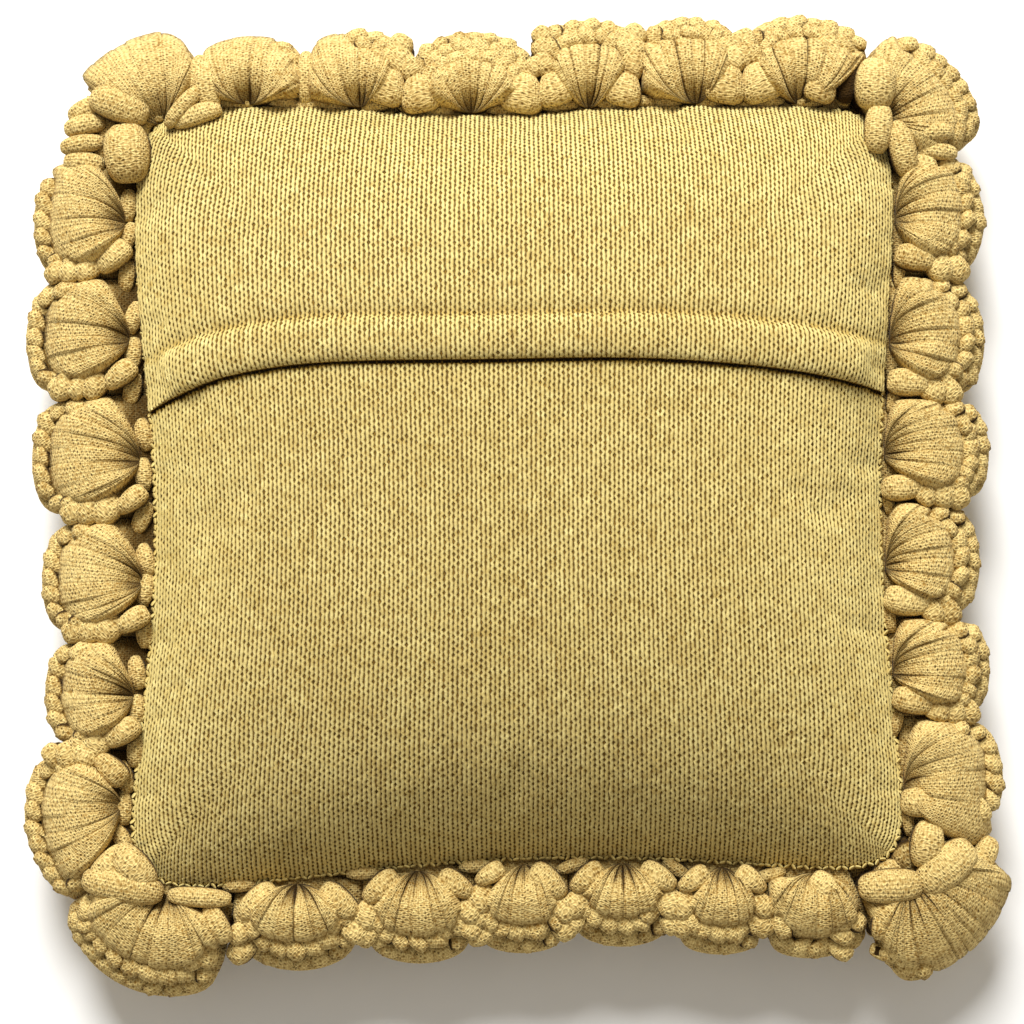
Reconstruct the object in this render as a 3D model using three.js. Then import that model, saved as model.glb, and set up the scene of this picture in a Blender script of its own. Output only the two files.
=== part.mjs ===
// Filled square cushion with a knitted envelope back and a border of crocheted shells.
// Millimetres, +Z up. It lies on its front panel with the envelope back facing up,
// +X is the right side seen from above and +Y is the side of the flap.
// The origin is the middle of the flat patch that it rests on.

import * as THREE from 'three';

// Cover: the corners of the sewn outline, before they are rounded
const HALF_SIDE = 212; // nominal, from the middle to a side
const CORNERS = {
  topLeft: new THREE.Vector2(-213, 212),
  topRight: new THREE.Vector2(210, 213),
  bottomRight: new THREE.Vector2(212, -213),
  bottomLeft: new THREE.Vector2(-211, -222),
};
const CORNER_POWER = 14; // higher gives a tighter corner
const CORNER_REACH_POWER = 4; // how fast the rounding fades towards the middle

// Cover: how far each side is drawn in, where most, and over what share of the side
const DRAWN_IN = {
  left: { depth: 13, at: -0.15, span: 0.85 },
  right: { depth: 11, at: -0.12, span: 0.95 },
  top: { depth: 5, at: -0.1, span: 0.5 },
  bottom: { depth: 13, at: 0.08, span: 1.05 },
};

// Cover: the filled form above and below the seam
const SEAM_Z = 50;
const CROWN = 66;
const BELLY = 62;
const FULLNESS_POWER = 3;
const EDGE_POWER = 0.75;
const PANEL_STEPS = 24;

// Flap: the upper back panel, which ends in a turned hem
const FLAP_EDGE = 60; // from the middle of the cover to the hem's fold
const FLAP_DROP = { left: 17, right: 10 }; // the fold hangs lower at its two ends
const FLAP_DROP_POWER = { left: 4.2, right: 2 };
const FLAP_GAP = 0.85;
const FLAP_EDGE_LIMIT = 0.985; // share of the cover at which the flap meets the seam
const FLAP_SEAM_THICKNESS = 1.2;
const FLAP_SEAM_FADE = 0.12; // share of the cover over which it thins towards the seam
const HEM_WIDTH = 24;
const HEM_ROWS = [
  { across: 0.0, thickness: 4.2 },
  { across: 0.18, thickness: 5.6 },
  { across: 0.82, thickness: 5.4 },
  { across: 1.0, thickness: 6.2 },
  { across: 1.22, thickness: 3.0 },
];
const FLAP_THICKNESS = 3.0;
const HEM_CLEARANCE = 0.2; // share of the hem's width before the first plain row

// Border: shells of thick knitted tape, worked from the seam outwards
const SHELL_SEAM_GAP = 0.4;
const SHELL_SIDE_GAP = 0.3;
const SHELL_CORNERS = 8; // higher gives squarer shoulders
const SHELL_DROOP = 15; // the rim hangs lower than the seam
const STRAND_RELIEF = 0.24; // depth of the groove between two strands, as a share
const STRAND_RIM_RELIEF = 0.05;
const SIDE_ROUNDING = 6; // higher keeps the thickness further towards the two sides
const SIDE_THICKNESS = 0.35; // share of the thickness that is left at the two sides
const SHELL_ROOT_HALF = 6;
const SHELL_SECTIONS = [
  { out: 0.16, half: 10.5 },
  { out: 0.42, half: 17 },
  { out: 0.74, half: 14.5 },
  { out: 0.93, half: 8 },
];

// Each side of the cover: the border runs clockwise, seen from above
const SIDES = {
  top: { normal: 90, point: (t) => [t / HALF_SIDE, 1] },
  right: { normal: 0, point: (t) => [1, t / HALF_SIDE] },
  bottom: { normal: -90, point: (t) => [t / HALF_SIDE, -1] },
  left: { normal: 180, point: (t) => [-1, t / HALF_SIDE] },
};

// One row for each shell, clockwise from the top left corner. along is measured from
// the middle of the side, lean turns the fan from the side's normal and spread is half
// of the fan's opening, both in degrees.
const SHELL_COLUMNS = ['name', 'side', 'along', 'lean', 'width', 'reach', 'strands', 'spread'];
const SHELL_ROWS = [
  ['corner_top_left', 'top', -207, 30, 42, 55, 11, 78],
  ['top_1', 'top', -150, 0, 63, 47, 8, 82],
  ['top_2', 'top', -90, 0, 55, 51, 8, 82],
  ['top_3', 'top', -24, 0, 75, 53, 9, 82],
  ['top_4', 'top', 42, 0, 55, 57, 8, 82],
  ['top_5', 'top', 100, 0, 58, 56, 8, 82],
  ['top_6', 'top', 163, 0, 70, 57, 9, 82],
  ['corner_top_right', 'top', 212, -53, 52, 61, 13, 82],
  ['right_1', 'right', 152, 0, 68, 55, 8, 82],
  ['right_2', 'right', 82, 0, 67, 58, 8, 82],
  ['right_3', 'right', 19, 0, 56, 63, 8, 82],
  ['right_4', 'right', -42, 0, 63, 57, 8, 82],
  ['right_5', 'right', -101, 0, 53, 58, 7, 82],
  ['right_6', 'right', -162, 0, 66, 59, 8, 82],
  ['corner_bottom_right', 'bottom', 212, 43, 52, 67, 14, 84],
  ['bottom_1', 'bottom', 160, 0, 52, 50, 7, 82],
  ['bottom_2', 'bottom', 111, 0, 50, 51, 7, 82],
  ['bottom_3', 'bottom', 57, 0, 58, 49, 8, 82],
  ['bottom_4', 'bottom', 2, 0, 50, 52, 7, 82],
  ['bottom_5', 'bottom', -54, 0, 60, 54, 8, 82],
  ['bottom_6', 'bottom', -120, 0, 68, 51, 9, 82],
  ['corner_bottom_left', 'bottom', -192, -16, 72, 62, 14, 84],
  ['left_1', 'left', -171, 0, 60, 62, 9, 72],
  ['left_2', 'left', -107, 0, 59, 58, 7, 72],
  ['left_3', 'left', -46, 0, 64, 65, 8, 72],
  ['left_4', 'left', 20, 0, 67, 70, 8, 72],
  ['left_5', 'left', 86, 0, 64, 68, 8, 72],
  ['left_6', 'left', 151, 0, 66, 61, 8, 72],
  ['left_7', 'left', 201, -12, 36, 52, 5, 72],
];

const KNIT_COLOUR = '#c4a058';
const TAPE_COLOUR = '#cfae68';
const KNIT_ROUGHNESS = 0.95;

const radians = THREE.MathUtils.degToRad;

// How far a side is drawn in at a place along it, from -1 to 1.
function drawnIn(side, t) {
  const { depth, at, span } = DRAWN_IN[side];
  return depth * Math.max(0, 1 - ((t - at) / span) ** 2) ** 2;
}

// Where a point of the cover lies in plan. a and b run from -1 to 1 between the seams.
function coverPlan(a, b) {
  const m = Math.max(Math.abs(a), Math.abs(b));
  const round = (Math.abs(a) ** CORNER_POWER + Math.abs(b) ** CORNER_POWER) ** (1 / CORNER_POWER);
  const pull = m > 0 ? 1 - (1 - m / round) * m ** CORNER_REACH_POWER : 1;
  const [u, v] = [a * pull, b * pull];
  const upper = CORNERS.topLeft.clone().lerp(CORNERS.topRight, (u + 1) / 2);
  const lower = CORNERS.bottomLeft.clone().lerp(CORNERS.bottomRight, (u + 1) / 2);
  const plan = lower.lerp(upper, (v + 1) / 2);
  plan.x -= u * drawnIn(u < 0 ? 'left' : 'right', b);
  plan.y -= v * drawnIn(v < 0 ? 'bottom' : 'top', a);
  return plan;
}

// How full the cover is at a point: 1 in the middle and 0 at the seam.
function fullness(a, b) {
  const across = 1 - Math.min(1, Math.abs(a)) ** FULLNESS_POWER;
  const along = 1 - Math.min(1, Math.abs(b)) ** FULLNESS_POWER;
  return (across * along) ** EDGE_POWER;
}

function backPoint(a, b) {
  const plan = coverPlan(a, b);
  return new THREE.Vector3(plan.x, plan.y, SEAM_Z + CROWN * fullness(a, b));
}

function frontPoint(a, b) {
  const plan = coverPlan(a, b);
  return new THREE.Vector3(plan.x, plan.y, Math.max(0, SEAM_Z - BELLY * fullness(a, b)));
}

// The outward direction of the back, from two short steps along it.
function backNormal(a, b) {
  const step = 1e-3;
  const along = backPoint(a + step, b).sub(backPoint(a - step, b));
  const up = backPoint(a, b + step).sub(backPoint(a, b - step));
  return along.cross(up).normalize();
}

// Grid lines of a panel, closer together towards the seams.
function panelLines() {
  const lines = [];
  for (let i = 0; i <= PANEL_STEPS; i += 1) {
    lines.push(Math.sin((i / PANEL_STEPS - 0.5) * Math.PI));
  }
  return lines;
}

// Collects points and triangles of one closed body.
class Skin {
  constructor() {
    this.points = [];
    this.triangles = [];
  }

  add(point) {
    this.points.push(point.x, point.y, point.z);
    return this.points.length / 3 - 1;
  }

  triangle(i, j, k) {
    if (i !== j && j !== k && k !== i) this.triangles.push(i, j, k);
  }

  quad(i, j, k, l) {
    this.triangle(i, j, k);
    this.triangle(i, k, l);
  }

  // Joins neighbouring rows of a grid of point numbers.
  sheet(rows, flipped) {
    for (let r = 0; r + 1 < rows.length; r += 1) {
      for (let c = 0; c + 1 < rows[r].length; c += 1) {
        const [i, j, k, l] = [rows[r][c], rows[r][c + 1], rows[r + 1][c + 1], rows[r + 1][c]];
        if (flipped) this.quad(i, l, k, j);
        else this.quad(i, j, k, l);
      }
    }
  }

  geometry() {
    const geometry = new THREE.BufferGeometry();
    geometry.setAttribute('position', new THREE.Float32BufferAttribute(this.points, 3));
    geometry.setIndex(this.triangles);
    geometry.computeVertexNormals();
    return geometry;
  }
}

// The front panel and the lower back panel, sewn together round the filling.
function filledCover() {
  const skin = new Skin();
  const lines = panelLines();
  const last = lines.length - 1;
  const back = lines.map((b) => lines.map((a) => skin.add(backPoint(a, b))));
  const onSeam = (r, c) => r === 0 || c === 0 || r === last || c === last;
  const front = lines.map((b, r) => lines.map((a, c) => (
    onSeam(r, c) ? back[r][c] : skin.add(frontPoint(a, b))
  )));
  skin.sheet(back, false);
  skin.sheet(front, true);
  return skin.geometry();
}

// How far up the cover the flap's hem folds, at a place across it.
function flapEdge(a) {
  const side = a < 0 ? 'left' : 'right';
  const drop = FLAP_DROP[side] * Math.abs(a) ** FLAP_DROP_POWER[side];
  return (FLAP_EDGE - drop) / HALF_SIDE;
}

// The flap thins out towards the seams that hold it.
function flapThickness(a, b, thickness) {
  const toSeam = FLAP_EDGE_LIMIT - Math.max(Math.abs(a), b);
  const share = THREE.MathUtils.smoothstep(toSeam, 0, FLAP_SEAM_FADE);
  return THREE.MathUtils.lerp(FLAP_SEAM_THICKNESS, thickness, share);
}

// The upper back panel: a sheet that lies on the filled cover, thicker along its hem.
function backFlap() {
  const skin = new Skin();
  const hem = HEM_WIDTH / HALF_SIDE;
  const widest = HEM_ROWS[HEM_ROWS.length - 1].across;
  const firstPlainLine = flapEdge(0) + hem * (widest + HEM_CLEARANCE);
  const inside = (line) => Math.abs(line) < FLAP_EDGE_LIMIT;
  const across = [-FLAP_EDGE_LIMIT, ...panelLines().filter(inside), FLAP_EDGE_LIMIT];
  const plain = [...panelLines().filter((b) => b > firstPlainLine && inside(b)), FLAP_EDGE_LIMIT];
  const rows = [
    ...HEM_ROWS.map((row) => ({ ...row, line: (a) => flapEdge(a) + hem * row.across })),
    ...plain.map((b) => ({ thickness: FLAP_THICKNESS, line: () => b })),
  ];
  const layer = (height) => rows.map((row) => across.map((a) => {
    const b = row.line(a);
    const lift = FLAP_GAP + height * flapThickness(a, b, row.thickness);
    return skin.add(backPoint(a, b).addScaledVector(backNormal(a, b), lift));
  }));
  const under = layer(0);
  const over = layer(1);
  skin.sheet(over, false);
  skin.sheet(under, true);
  const lastRow = rows.length - 1;
  const lastColumn = across.length - 1;
  for (let c = 0; c < lastColumn; c += 1) {
    skin.quad(under[0][c], under[0][c + 1], over[0][c + 1], over[0][c]);
    skin.quad(over[lastRow][c], over[lastRow][c + 1], under[lastRow][c + 1], under[lastRow][c]);
  }
  for (let r = 0; r < lastRow; r += 1) {
    skin.quad(over[r][0], over[r + 1][0], under[r + 1][0], under[r][0]);
    skin.quad(under[r][lastColumn], under[r + 1][lastColumn], over[r + 1][lastColumn], over[r][lastColumn]);
  }
  return skin.geometry();
}

// A shell's root on the seam and the direction in which its fan points.
function placeShell(row) {
  const side = SIDES[row.side];
  const [a, b] = side.point(row.along);
  const clamp = (value) => THREE.MathUtils.clamp(value, -1, 1);
  const angle = radians(side.normal + row.lean);
  const axis = new THREE.Vector2(Math.cos(angle), Math.sin(angle));
  const root = coverPlan(clamp(a), clamp(b)).addScaledVector(axis, SHELL_SEAM_GAP);
  return { ...row, angle, axis, root, half: radians(row.spread) };
}

// The line on which two neighbouring shells press against each other, as seen from
// one of them: the direction to it and the distance.
function pressLine(shell, neighbour) {
  const share = shell.width / (shell.width + neighbour.width);
  const foot = shell.root.clone().lerp(neighbour.root, share);
  const outward = shell.axis.clone().add(neighbour.axis).normalize();
  const normal = new THREE.Vector2(outward.y, -outward.x);
  const toFoot = foot.sub(shell.root);
  if (normal.dot(toFoot) < 0) normal.negate();
  return { angle: normal.angle(), distance: normal.dot(toFoot) - SHELL_SIDE_GAP / 2 };
}

// How far a fan reaches at an angle: a round rim, held in by its two neighbours.
function fanReach(shell, lines, angle) {
  let sum = shell.reach ** -SHELL_CORNERS;
  for (const line of lines) {
    const towards = Math.max(0, Math.cos(angle - line.angle));
    sum += (towards / line.distance) ** SHELL_CORNERS;
  }
  return sum ** (-1 / SHELL_CORNERS);
}

// One shell: strands fan out from a pinched root, swell and end in a rounded rim.
function shellFan(shell, lines) {
  const skin = new Skin();
  const columns = shell.strands * 2;
  const top = skin.add(new THREE.Vector3(shell.root.x, shell.root.y, SEAM_Z + SHELL_ROOT_HALF));
  const bottom = skin.add(new THREE.Vector3(shell.root.x, shell.root.y, SEAM_Z - SHELL_ROOT_HALF));
  const upper = [Array(columns + 1).fill(top)];
  const lower = [Array(columns + 1).fill(bottom)];

  const point = (column, out, half, sign) => {
    const turn = column / shell.strands - 1;
    const angle = shell.angle + turn * shell.half;
    const groove = column % 2 === 0 ? 1 : 0;
    const reach = fanReach(shell, lines, angle) * (1 - STRAND_RIM_RELIEF * groove) * out;
    const sideways = 1 - (1 - SIDE_THICKNESS) * Math.abs(turn) ** SIDE_ROUNDING;
    const thick = half * sideways * (1 - STRAND_RELIEF * groove);
    return new THREE.Vector3(
      shell.root.x + reach * Math.cos(angle),
      shell.root.y + reach * Math.sin(angle),
      SEAM_Z - SHELL_DROOP * out * out + sign * thick,
    );
  };
  const ring = (out, half, sign) => {
    const numbers = [];
    for (let column = 0; column <= columns; column += 1) {
      numbers.push(skin.add(point(column, out, half, sign)));
    }
    return numbers;
  };

  for (const section of SHELL_SECTIONS) {
    upper.push(ring(section.out, section.half, 1));
    lower.push(ring(section.out, section.half, -1));
  }
  const rim = ring(1, 0, 1);
  upper.push(rim);
  lower.push(rim);
  skin.sheet(upper, true);
  skin.sheet(lower, false);
  for (let r = 0; r + 1 < upper.length; r += 1) {
    skin.quad(upper[r][0], lower[r][0], lower[r + 1][0], upper[r + 1][0]);
    skin.quad(upper[r + 1][columns], lower[r + 1][columns], lower[r][columns], upper[r][columns]);
  }
  return skin.geometry();
}

function cloth(name, geometry, colour) {
  const material = new THREE.MeshStandardMaterial({
    color: colour,
    roughness: KNIT_ROUGHNESS,
    metalness: 0,
  });
  const mesh = new THREE.Mesh(geometry, material);
  mesh.name = name;
  return mesh;
}

const cushion = new THREE.Group();
cushion.add(cloth('filled_cover', filledCover(), KNIT_COLOUR));
cushion.add(cloth('back_flap', backFlap(), KNIT_COLOUR));

const shells = SHELL_ROWS.map((row) => (
  placeShell(Object.fromEntries(row.map((value, i) => [SHELL_COLUMNS[i], value])))
));
shells.forEach((shell, i) => {
  const before = shells[(i + shells.length - 1) % shells.length];
  const after = shells[(i + 1) % shells.length];
  const lines = [pressLine(shell, before), pressLine(shell, after)];
  cushion.add(cloth(`shell_${shell.name}`, shellFan(shell, lines), TAPE_COLOUR));
});

export default cushion;
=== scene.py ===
"""Looks of a filled square cushion with a knitted envelope back and a crocheted border.

The cushion lies on its front panel with the envelope back facing up. Sizes are in
millimetres and meshes in metres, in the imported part's frame: +X is the right side, +Y the
side of the flap and +Z up.
"""

import logging
import math
from dataclasses import dataclass, field
from enum import Enum

import bmesh
import bpy
import numpy as np
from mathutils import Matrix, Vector


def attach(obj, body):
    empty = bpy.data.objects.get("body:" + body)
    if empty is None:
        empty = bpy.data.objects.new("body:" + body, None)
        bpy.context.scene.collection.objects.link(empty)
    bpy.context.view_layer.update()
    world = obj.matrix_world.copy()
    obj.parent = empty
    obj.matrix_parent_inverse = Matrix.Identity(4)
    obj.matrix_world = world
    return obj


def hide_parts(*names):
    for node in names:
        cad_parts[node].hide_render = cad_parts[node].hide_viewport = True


Array = np.ndarray
Material = bpy.types.Material
Node = bpy.types.Node
Pair = tuple[float, float]
Piece = bpy.types.Object
Socket = bpy.types.NodeSocket
Tree = bpy.types.NodeTree
Triple = tuple[float, float, float]

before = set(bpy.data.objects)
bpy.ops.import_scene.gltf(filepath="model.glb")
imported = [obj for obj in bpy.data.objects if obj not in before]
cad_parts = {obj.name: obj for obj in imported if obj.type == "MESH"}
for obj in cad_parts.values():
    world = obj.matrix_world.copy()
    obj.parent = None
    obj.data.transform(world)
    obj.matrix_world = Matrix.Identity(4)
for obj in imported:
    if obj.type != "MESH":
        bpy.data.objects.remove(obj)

LOG = logging.getLogger("cushion")
MM = 0.001
BODY = "root"
# Each point's tone: the yarn's random tone, lowered by painted shade on the sides of tapes, in grooves,
# near pinches, under the hem and at its crease, in the shells' insides and on the seam allowance.
TONE = "tone"
STITCH_MAP = "stitches"
PLAIN_TONE = 0.5
FACE_KINDS = (3, 4)
UP = np.array([0.0, 0.0, 1.0])


def linear(colour: str) -> tuple[float, float, float, float]:
    """Turns an sRGB hex colour to linear.

    Args:
        colour: six hex digits after a hash sign.

    Returns:
        Red, green, blue and an alpha of 1.
    """
    parts = [int(colour[i : i + 2], 16) / 255 for i in (1, 3, 5)]
    rgb = [c / 12.92 if c <= 0.04045 else ((c + 0.055) / 1.055) ** 2.4 for c in parts]
    return rgb[0], rgb[1], rgb[2], 1.0


def add_node(tree: Tree, kind: str, settings: dict | None = None, inputs: dict | None = None) -> Node:
    """Adds a shader node with its settings and links.

    Args:
        tree: the material's node tree.
        kind: the node's type name.
        settings: properties to set, by name.
        inputs: a value or an output socket for each input, by name or number.

    Returns:
        The new node.
    """
    node = tree.nodes.new(kind)
    for name, value in (settings or {}).items():
        setattr(node, name, value)
    for key, value in (inputs or {}).items():
        if isinstance(value, Socket):
            tree.links.new(value, node.inputs[key])
        else:
            node.inputs[key].default_value = value
    return node


def empty_material(name: str) -> tuple[Material, Tree]:
    """Makes a material with no nodes.

    Args:
        name: the material's name.

    Returns:
        The material and its node tree.
    """
    material = bpy.data.materials.new(name)
    material.use_nodes = True
    material.node_tree.nodes.clear()
    return material, material.node_tree


def smoothstep(value: Array, low: float, high: float) -> Array:
    """Rises smoothly from 0 at low to 1 at high."""
    t = np.clip((value - low) / (high - low), 0.0, 1.0)
    return t * t * (3.0 - 2.0 * t)


def lengths(vectors: Array) -> Array:
    """The length of each vector."""
    return np.linalg.norm(vectors, axis=-1)


def unit(vectors: Array) -> Array:
    """Vectors of length 1 in the same directions."""
    return vectors / np.maximum(lengths(vectors), 1e-9)[..., None]


def lengths_along(points: Array) -> Array:
    """The length along a line at each of its points, from 0."""
    return np.concatenate([[0.0], np.cumsum(lengths(np.diff(points, axis=0)))])


def along_line(at: Array | float, length: Array, line: Array) -> Array:
    """Points of a flat line at lengths along it, where length is that at the line's own points."""
    return np.stack([np.interp(at, length, line[:, k]) for k in range(2)], axis=-1)


def calculate(tree: Tree, operation: str, *values: Socket | float, clamp: bool = False) -> Socket:
    """Adds one step of arithmetic on numbers or sockets, kept from 0 to 1 if clamp is set."""
    settings = {"operation": operation, "use_clamp": clamp}
    return add_node(tree, "ShaderNodeMath", settings, dict(enumerate(values))).outputs[0]


def remap(
    tree: Tree,
    value: Socket,
    source: Pair,
    target: Pair = (0.0, 1.0),
    kind: str = "SMOOTHSTEP",
) -> Socket:
    """Brings a value from one range to another, smoothly or in the way that kind names."""
    inputs = {1: source[0], 2: source[1], 3: target[0], 4: target[1], "Value": value}
    return add_node(tree, "ShaderNodeMapRange", {"interpolation_type": kind}, inputs).outputs["Result"]


def mix_colours(tree: Tree, share: Socket, low: Socket | tuple, high: Socket | tuple) -> Socket:
    """Mixes two colours, with the second one's share from 0 to 1."""
    inputs = {"Factor": share, 6: low, 7: high}
    return add_node(tree, "ShaderNodeMix", {"data_type": "RGBA"}, inputs).outputs[2]


def noise(tree: Tree, place: Socket, size_mm: float, detail: float) -> Node:
    """Adds specks or clouds of a size in millimetres, with a number of finer layers."""
    inputs = {"Vector": place, "Scale": 1.0 / (size_mm * MM), "Detail": detail}
    return add_node(tree, "ShaderNodeTexNoise", inputs=inputs)


def cloth_shader(tree: Tree, inputs: dict) -> None:
    """Ends a material with a matt shader, whose values and sockets are given by name."""
    shader = add_node(tree, "ShaderNodeBsdfPrincipled", inputs=inputs)
    add_node(tree, "ShaderNodeOutputMaterial", inputs={"Surface": shader.outputs[0]})


@dataclass(frozen=True)
class CottonFinish:
    """What the cotton finishes share: a crease colour of painted shade for low tones, a relief and a
    soft sheen.
    """

    name: str
    light: str
    deep: str
    crease: str
    painted_shade_tones: Pair = (-0.6, 0.0)
    bump: float = 0.35
    bump_mm: float = 0.4
    roughness: float = 0.9
    specular: float = 0.08
    sheen: float = 0.04
    sheen_roughness: float = 0.5

    def shade(self, tree: Tree, tone: Socket, colour: Socket, height: Socket) -> None:
        """Ends the material, mixing in painted shade where the tone is low.

        Args:
            tree: the material's node tree.
            tone: how light the yarn is, low where shade is painted in a crease.
            colour: the yarn's colour.
            height: how high the yarn stands, from 0 to 1.
        """
        # Painted shade: below these tones the crease colour is mixed in.
        clear = remap(tree, tone, self.painted_shade_tones)
        relief = {"Height": height, "Strength": self.bump, "Distance": self.bump_mm * MM}
        cloth_shader(
            tree,
            {
                "Base Color": mix_colours(tree, clear, linear(self.crease), colour),
                "Roughness": self.roughness,
                "Specular IOR Level": self.specular,
                "Sheen Weight": self.sheen,
                "Sheen Roughness": self.sheen_roughness,
                "Normal": add_node(tree, "ShaderNodeBump", inputs=relief).outputs["Normal"],
            },
        )


@dataclass(frozen=True)
class YarnFinish(CottonFinish):
    """Mercerised cotton yarn, plied and spun: matt, with a tone that differs by stitch.

    Each leg of a stitch is real, so the material gives the yarn's own colour, its fibres and a soft
    sheen where it turns away. A low tone gives the brown of painted shade, as in a deep crease.
    """

    fibre_mm: float = 0.9
    fibre_share: float = 0.5
    cloud_mm: float = 45.0
    cloud_share: float = 0.25

    def material(self) -> Material:
        """Makes the yarn's material.

        Returns:
            A material that reads the piece's tone attribute.
        """
        material, tree = empty_material(self.name)
        place = add_node(tree, "ShaderNodeTexCoord").outputs["Object"]
        fibre = noise(tree, place, self.fibre_mm, 1.0).outputs["Fac"]
        cloud = noise(tree, place, self.cloud_mm, 2.0).outputs["Fac"]
        tone = add_node(tree, "ShaderNodeAttribute", {"attribute_name": TONE}).outputs["Fac"]
        clouded = calculate(tree, "MULTIPLY_ADD", cloud, self.cloud_share, tone)
        speckled = calculate(tree, "MULTIPLY_ADD", fibre, self.fibre_share, clouded)
        middle = (self.cloud_share + self.fibre_share) / 2.0
        share = calculate(tree, "SUBTRACT", speckled, middle, clamp=True)
        colour = mix_colours(tree, share, linear(self.deep), linear(self.light))
        self.shade(tree, tone, colour, fibre)
        return material


@dataclass(frozen=True)
class KnitFinish(CottonFinish):
    """Fine stockinette drawn from a UV map that counts its stitches.

    The map's first number counts courses and its second wales. The legs of the stitches are light dashes
    that slant to and fro, lit by painted light, with a hole of painted shade in the middle of each wale
    and another between two wales, half a course further on; a bump gives the same relief. Many holes are
    closed, because the yarn is soft and uneven. A low tone mixes in painted shade, as in a crease
    between two tapes.
    """

    # The colour of the painted shade in the holes.
    hole: str = "#57400f"
    hole_core: float = 0.06
    hole_reach: float = 0.27
    closed_share: float = 0.2
    most_open: float = 0.95
    # How much painted light the legs of the stitches get.
    leg_share: float = 0.7
    leg_edge: Pair = (0.12, 0.5)
    leg_end: Pair = (0.25, 0.5)
    leg_end_height: float = 0.15
    least_leg: float = 0.25
    fluff_scale: float = 0.9
    streak_share: float = 0.0
    streak_size: Triple = (0.75, 2.4, 1.0)
    streak_roughness: float = 0.6
    noise_range: Pair = (0.3, 0.7)
    uneven: Triple = (1.28, 0.64, 0.0)
    uneven_mm: float = 6.0
    cloud_mm: float = 9.0
    cloud_share: float = 0.5
    dark_share: float = 0.4
    painted_shade_tones: Pair = (0.0, 0.4)
    bump: float = 1.0
    bump_mm: float = 0.55
    roughness: float = 0.85
    sheen: float = 0.12

    def slants(self, tree: Tree, place: Socket) -> list[Socket]:
        """Counts the stitches along the two slants of their legs.

        Args:
            tree: the material's node tree.
            place: coordinates in the object.

        Returns:
            The two counts, both whole numbers in the holes.
        """
        pull = noise(tree, place, self.uneven_mm, 2.0).outputs["Color"]
        spot = add_node(tree, "ShaderNodeUVMap", {"uv_map": STITCH_MAP}).outputs["UV"]
        settings = {"operation": "MULTIPLY_ADD"}
        pulled = add_node(tree, "ShaderNodeVectorMath", settings, {0: pull, 1: self.uneven, 2: spot})
        split = add_node(tree, "ShaderNodeSeparateXYZ", inputs={0: pulled.outputs[0]}).outputs
        return [calculate(tree, slant, split["X"], split["Y"]) for slant in ("ADD", "SUBTRACT")]

    def holes(self, tree: Tree, counts: list[Socket], away: list[Socket]) -> Socket:
        """Draws the holes, each with a depth of its own, to be filled with painted shade.

        Args:
            tree: the material's node tree.
            counts: the stitches counted along the two slants.
            away: how far it is to a hole along each slant.

        Returns:
            How open the knit is, from 0 to 1: the share of painted shade.
        """
        both = add_node(tree, "ShaderNodeCombineXYZ", inputs={0: away[0], 1: away[1]}).outputs[0]
        far = add_node(tree, "ShaderNodeVectorMath", {"operation": "LENGTH"}, {0: both}).outputs["Value"]
        near = remap(tree, far, (self.hole_core, self.hole_reach), (1.0, 0.0))
        whole = [calculate(tree, "ROUND", count) for count in counts]
        number = add_node(tree, "ShaderNodeCombineXYZ", inputs={0: whole[0], 1: whole[1]}).outputs[0]
        chance = add_node(tree, "ShaderNodeTexWhiteNoise", inputs={"Vector": number}).outputs["Value"]
        depth = remap(tree, chance, (self.closed_share, 1.0), (0.0, self.most_open), "LINEAR")
        return calculate(tree, "MULTIPLY", near, depth)

    def legs(self, tree: Tree, counts: list[Socket], away: list[Socket]) -> Socket:
        """Draws the legs of the stitches.

        Args:
            tree: the material's node tree.
            counts: the stitches counted along the two slants.
            away: how far it is to a hole along each slant.

        Returns:
            How high the yarn is and how much painted light it gets, from 0 to 1.
        """
        dashes = []
        for across, along in (away, away[::-1]):
            thick = remap(tree, across, self.leg_edge)
            middle = remap(tree, along, self.leg_end, (1.0, self.leg_end_height))
            dashes.append(calculate(tree, "MULTIPLY", thick, middle))
        leg = calculate(tree, "MAXIMUM", *dashes)
        number = add_node(tree, "ShaderNodeCombineXYZ", inputs={0: counts[0], 1: counts[1]}).outputs[0]
        inputs = {"Vector": number, "Scale": self.fluff_scale, "Detail": 1.0}
        fluff = add_node(tree, "ShaderNodeTexNoise", inputs=inputs).outputs["Fac"]
        strength = remap(tree, fluff, self.noise_range, (self.least_leg, 1.0), "LINEAR")
        return calculate(tree, "MULTIPLY", leg, strength)

    def streaks(self, tree: Tree) -> Socket:
        """Draws the light flecks of the plied yarn, drawn out along the courses.

        Args:
            tree: the material's node tree.

        Returns:
            How light the yarn is, around 0.
        """
        spot = add_node(tree, "ShaderNodeUVMap", {"uv_map": STITCH_MAP}).outputs["UV"]
        sizes = {0: spot, 1: self.streak_size}
        drawn = add_node(tree, "ShaderNodeVectorMath", {"operation": "MULTIPLY"}, sizes).outputs[0]
        inputs = {"Vector": drawn, "Scale": 1.0, "Detail": 2.0, "Roughness": self.streak_roughness}
        fleck = add_node(tree, "ShaderNodeTexNoise", inputs=inputs).outputs["Fac"]
        return remap(tree, fleck, self.noise_range, (-0.5, 0.5), "LINEAR")

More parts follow.
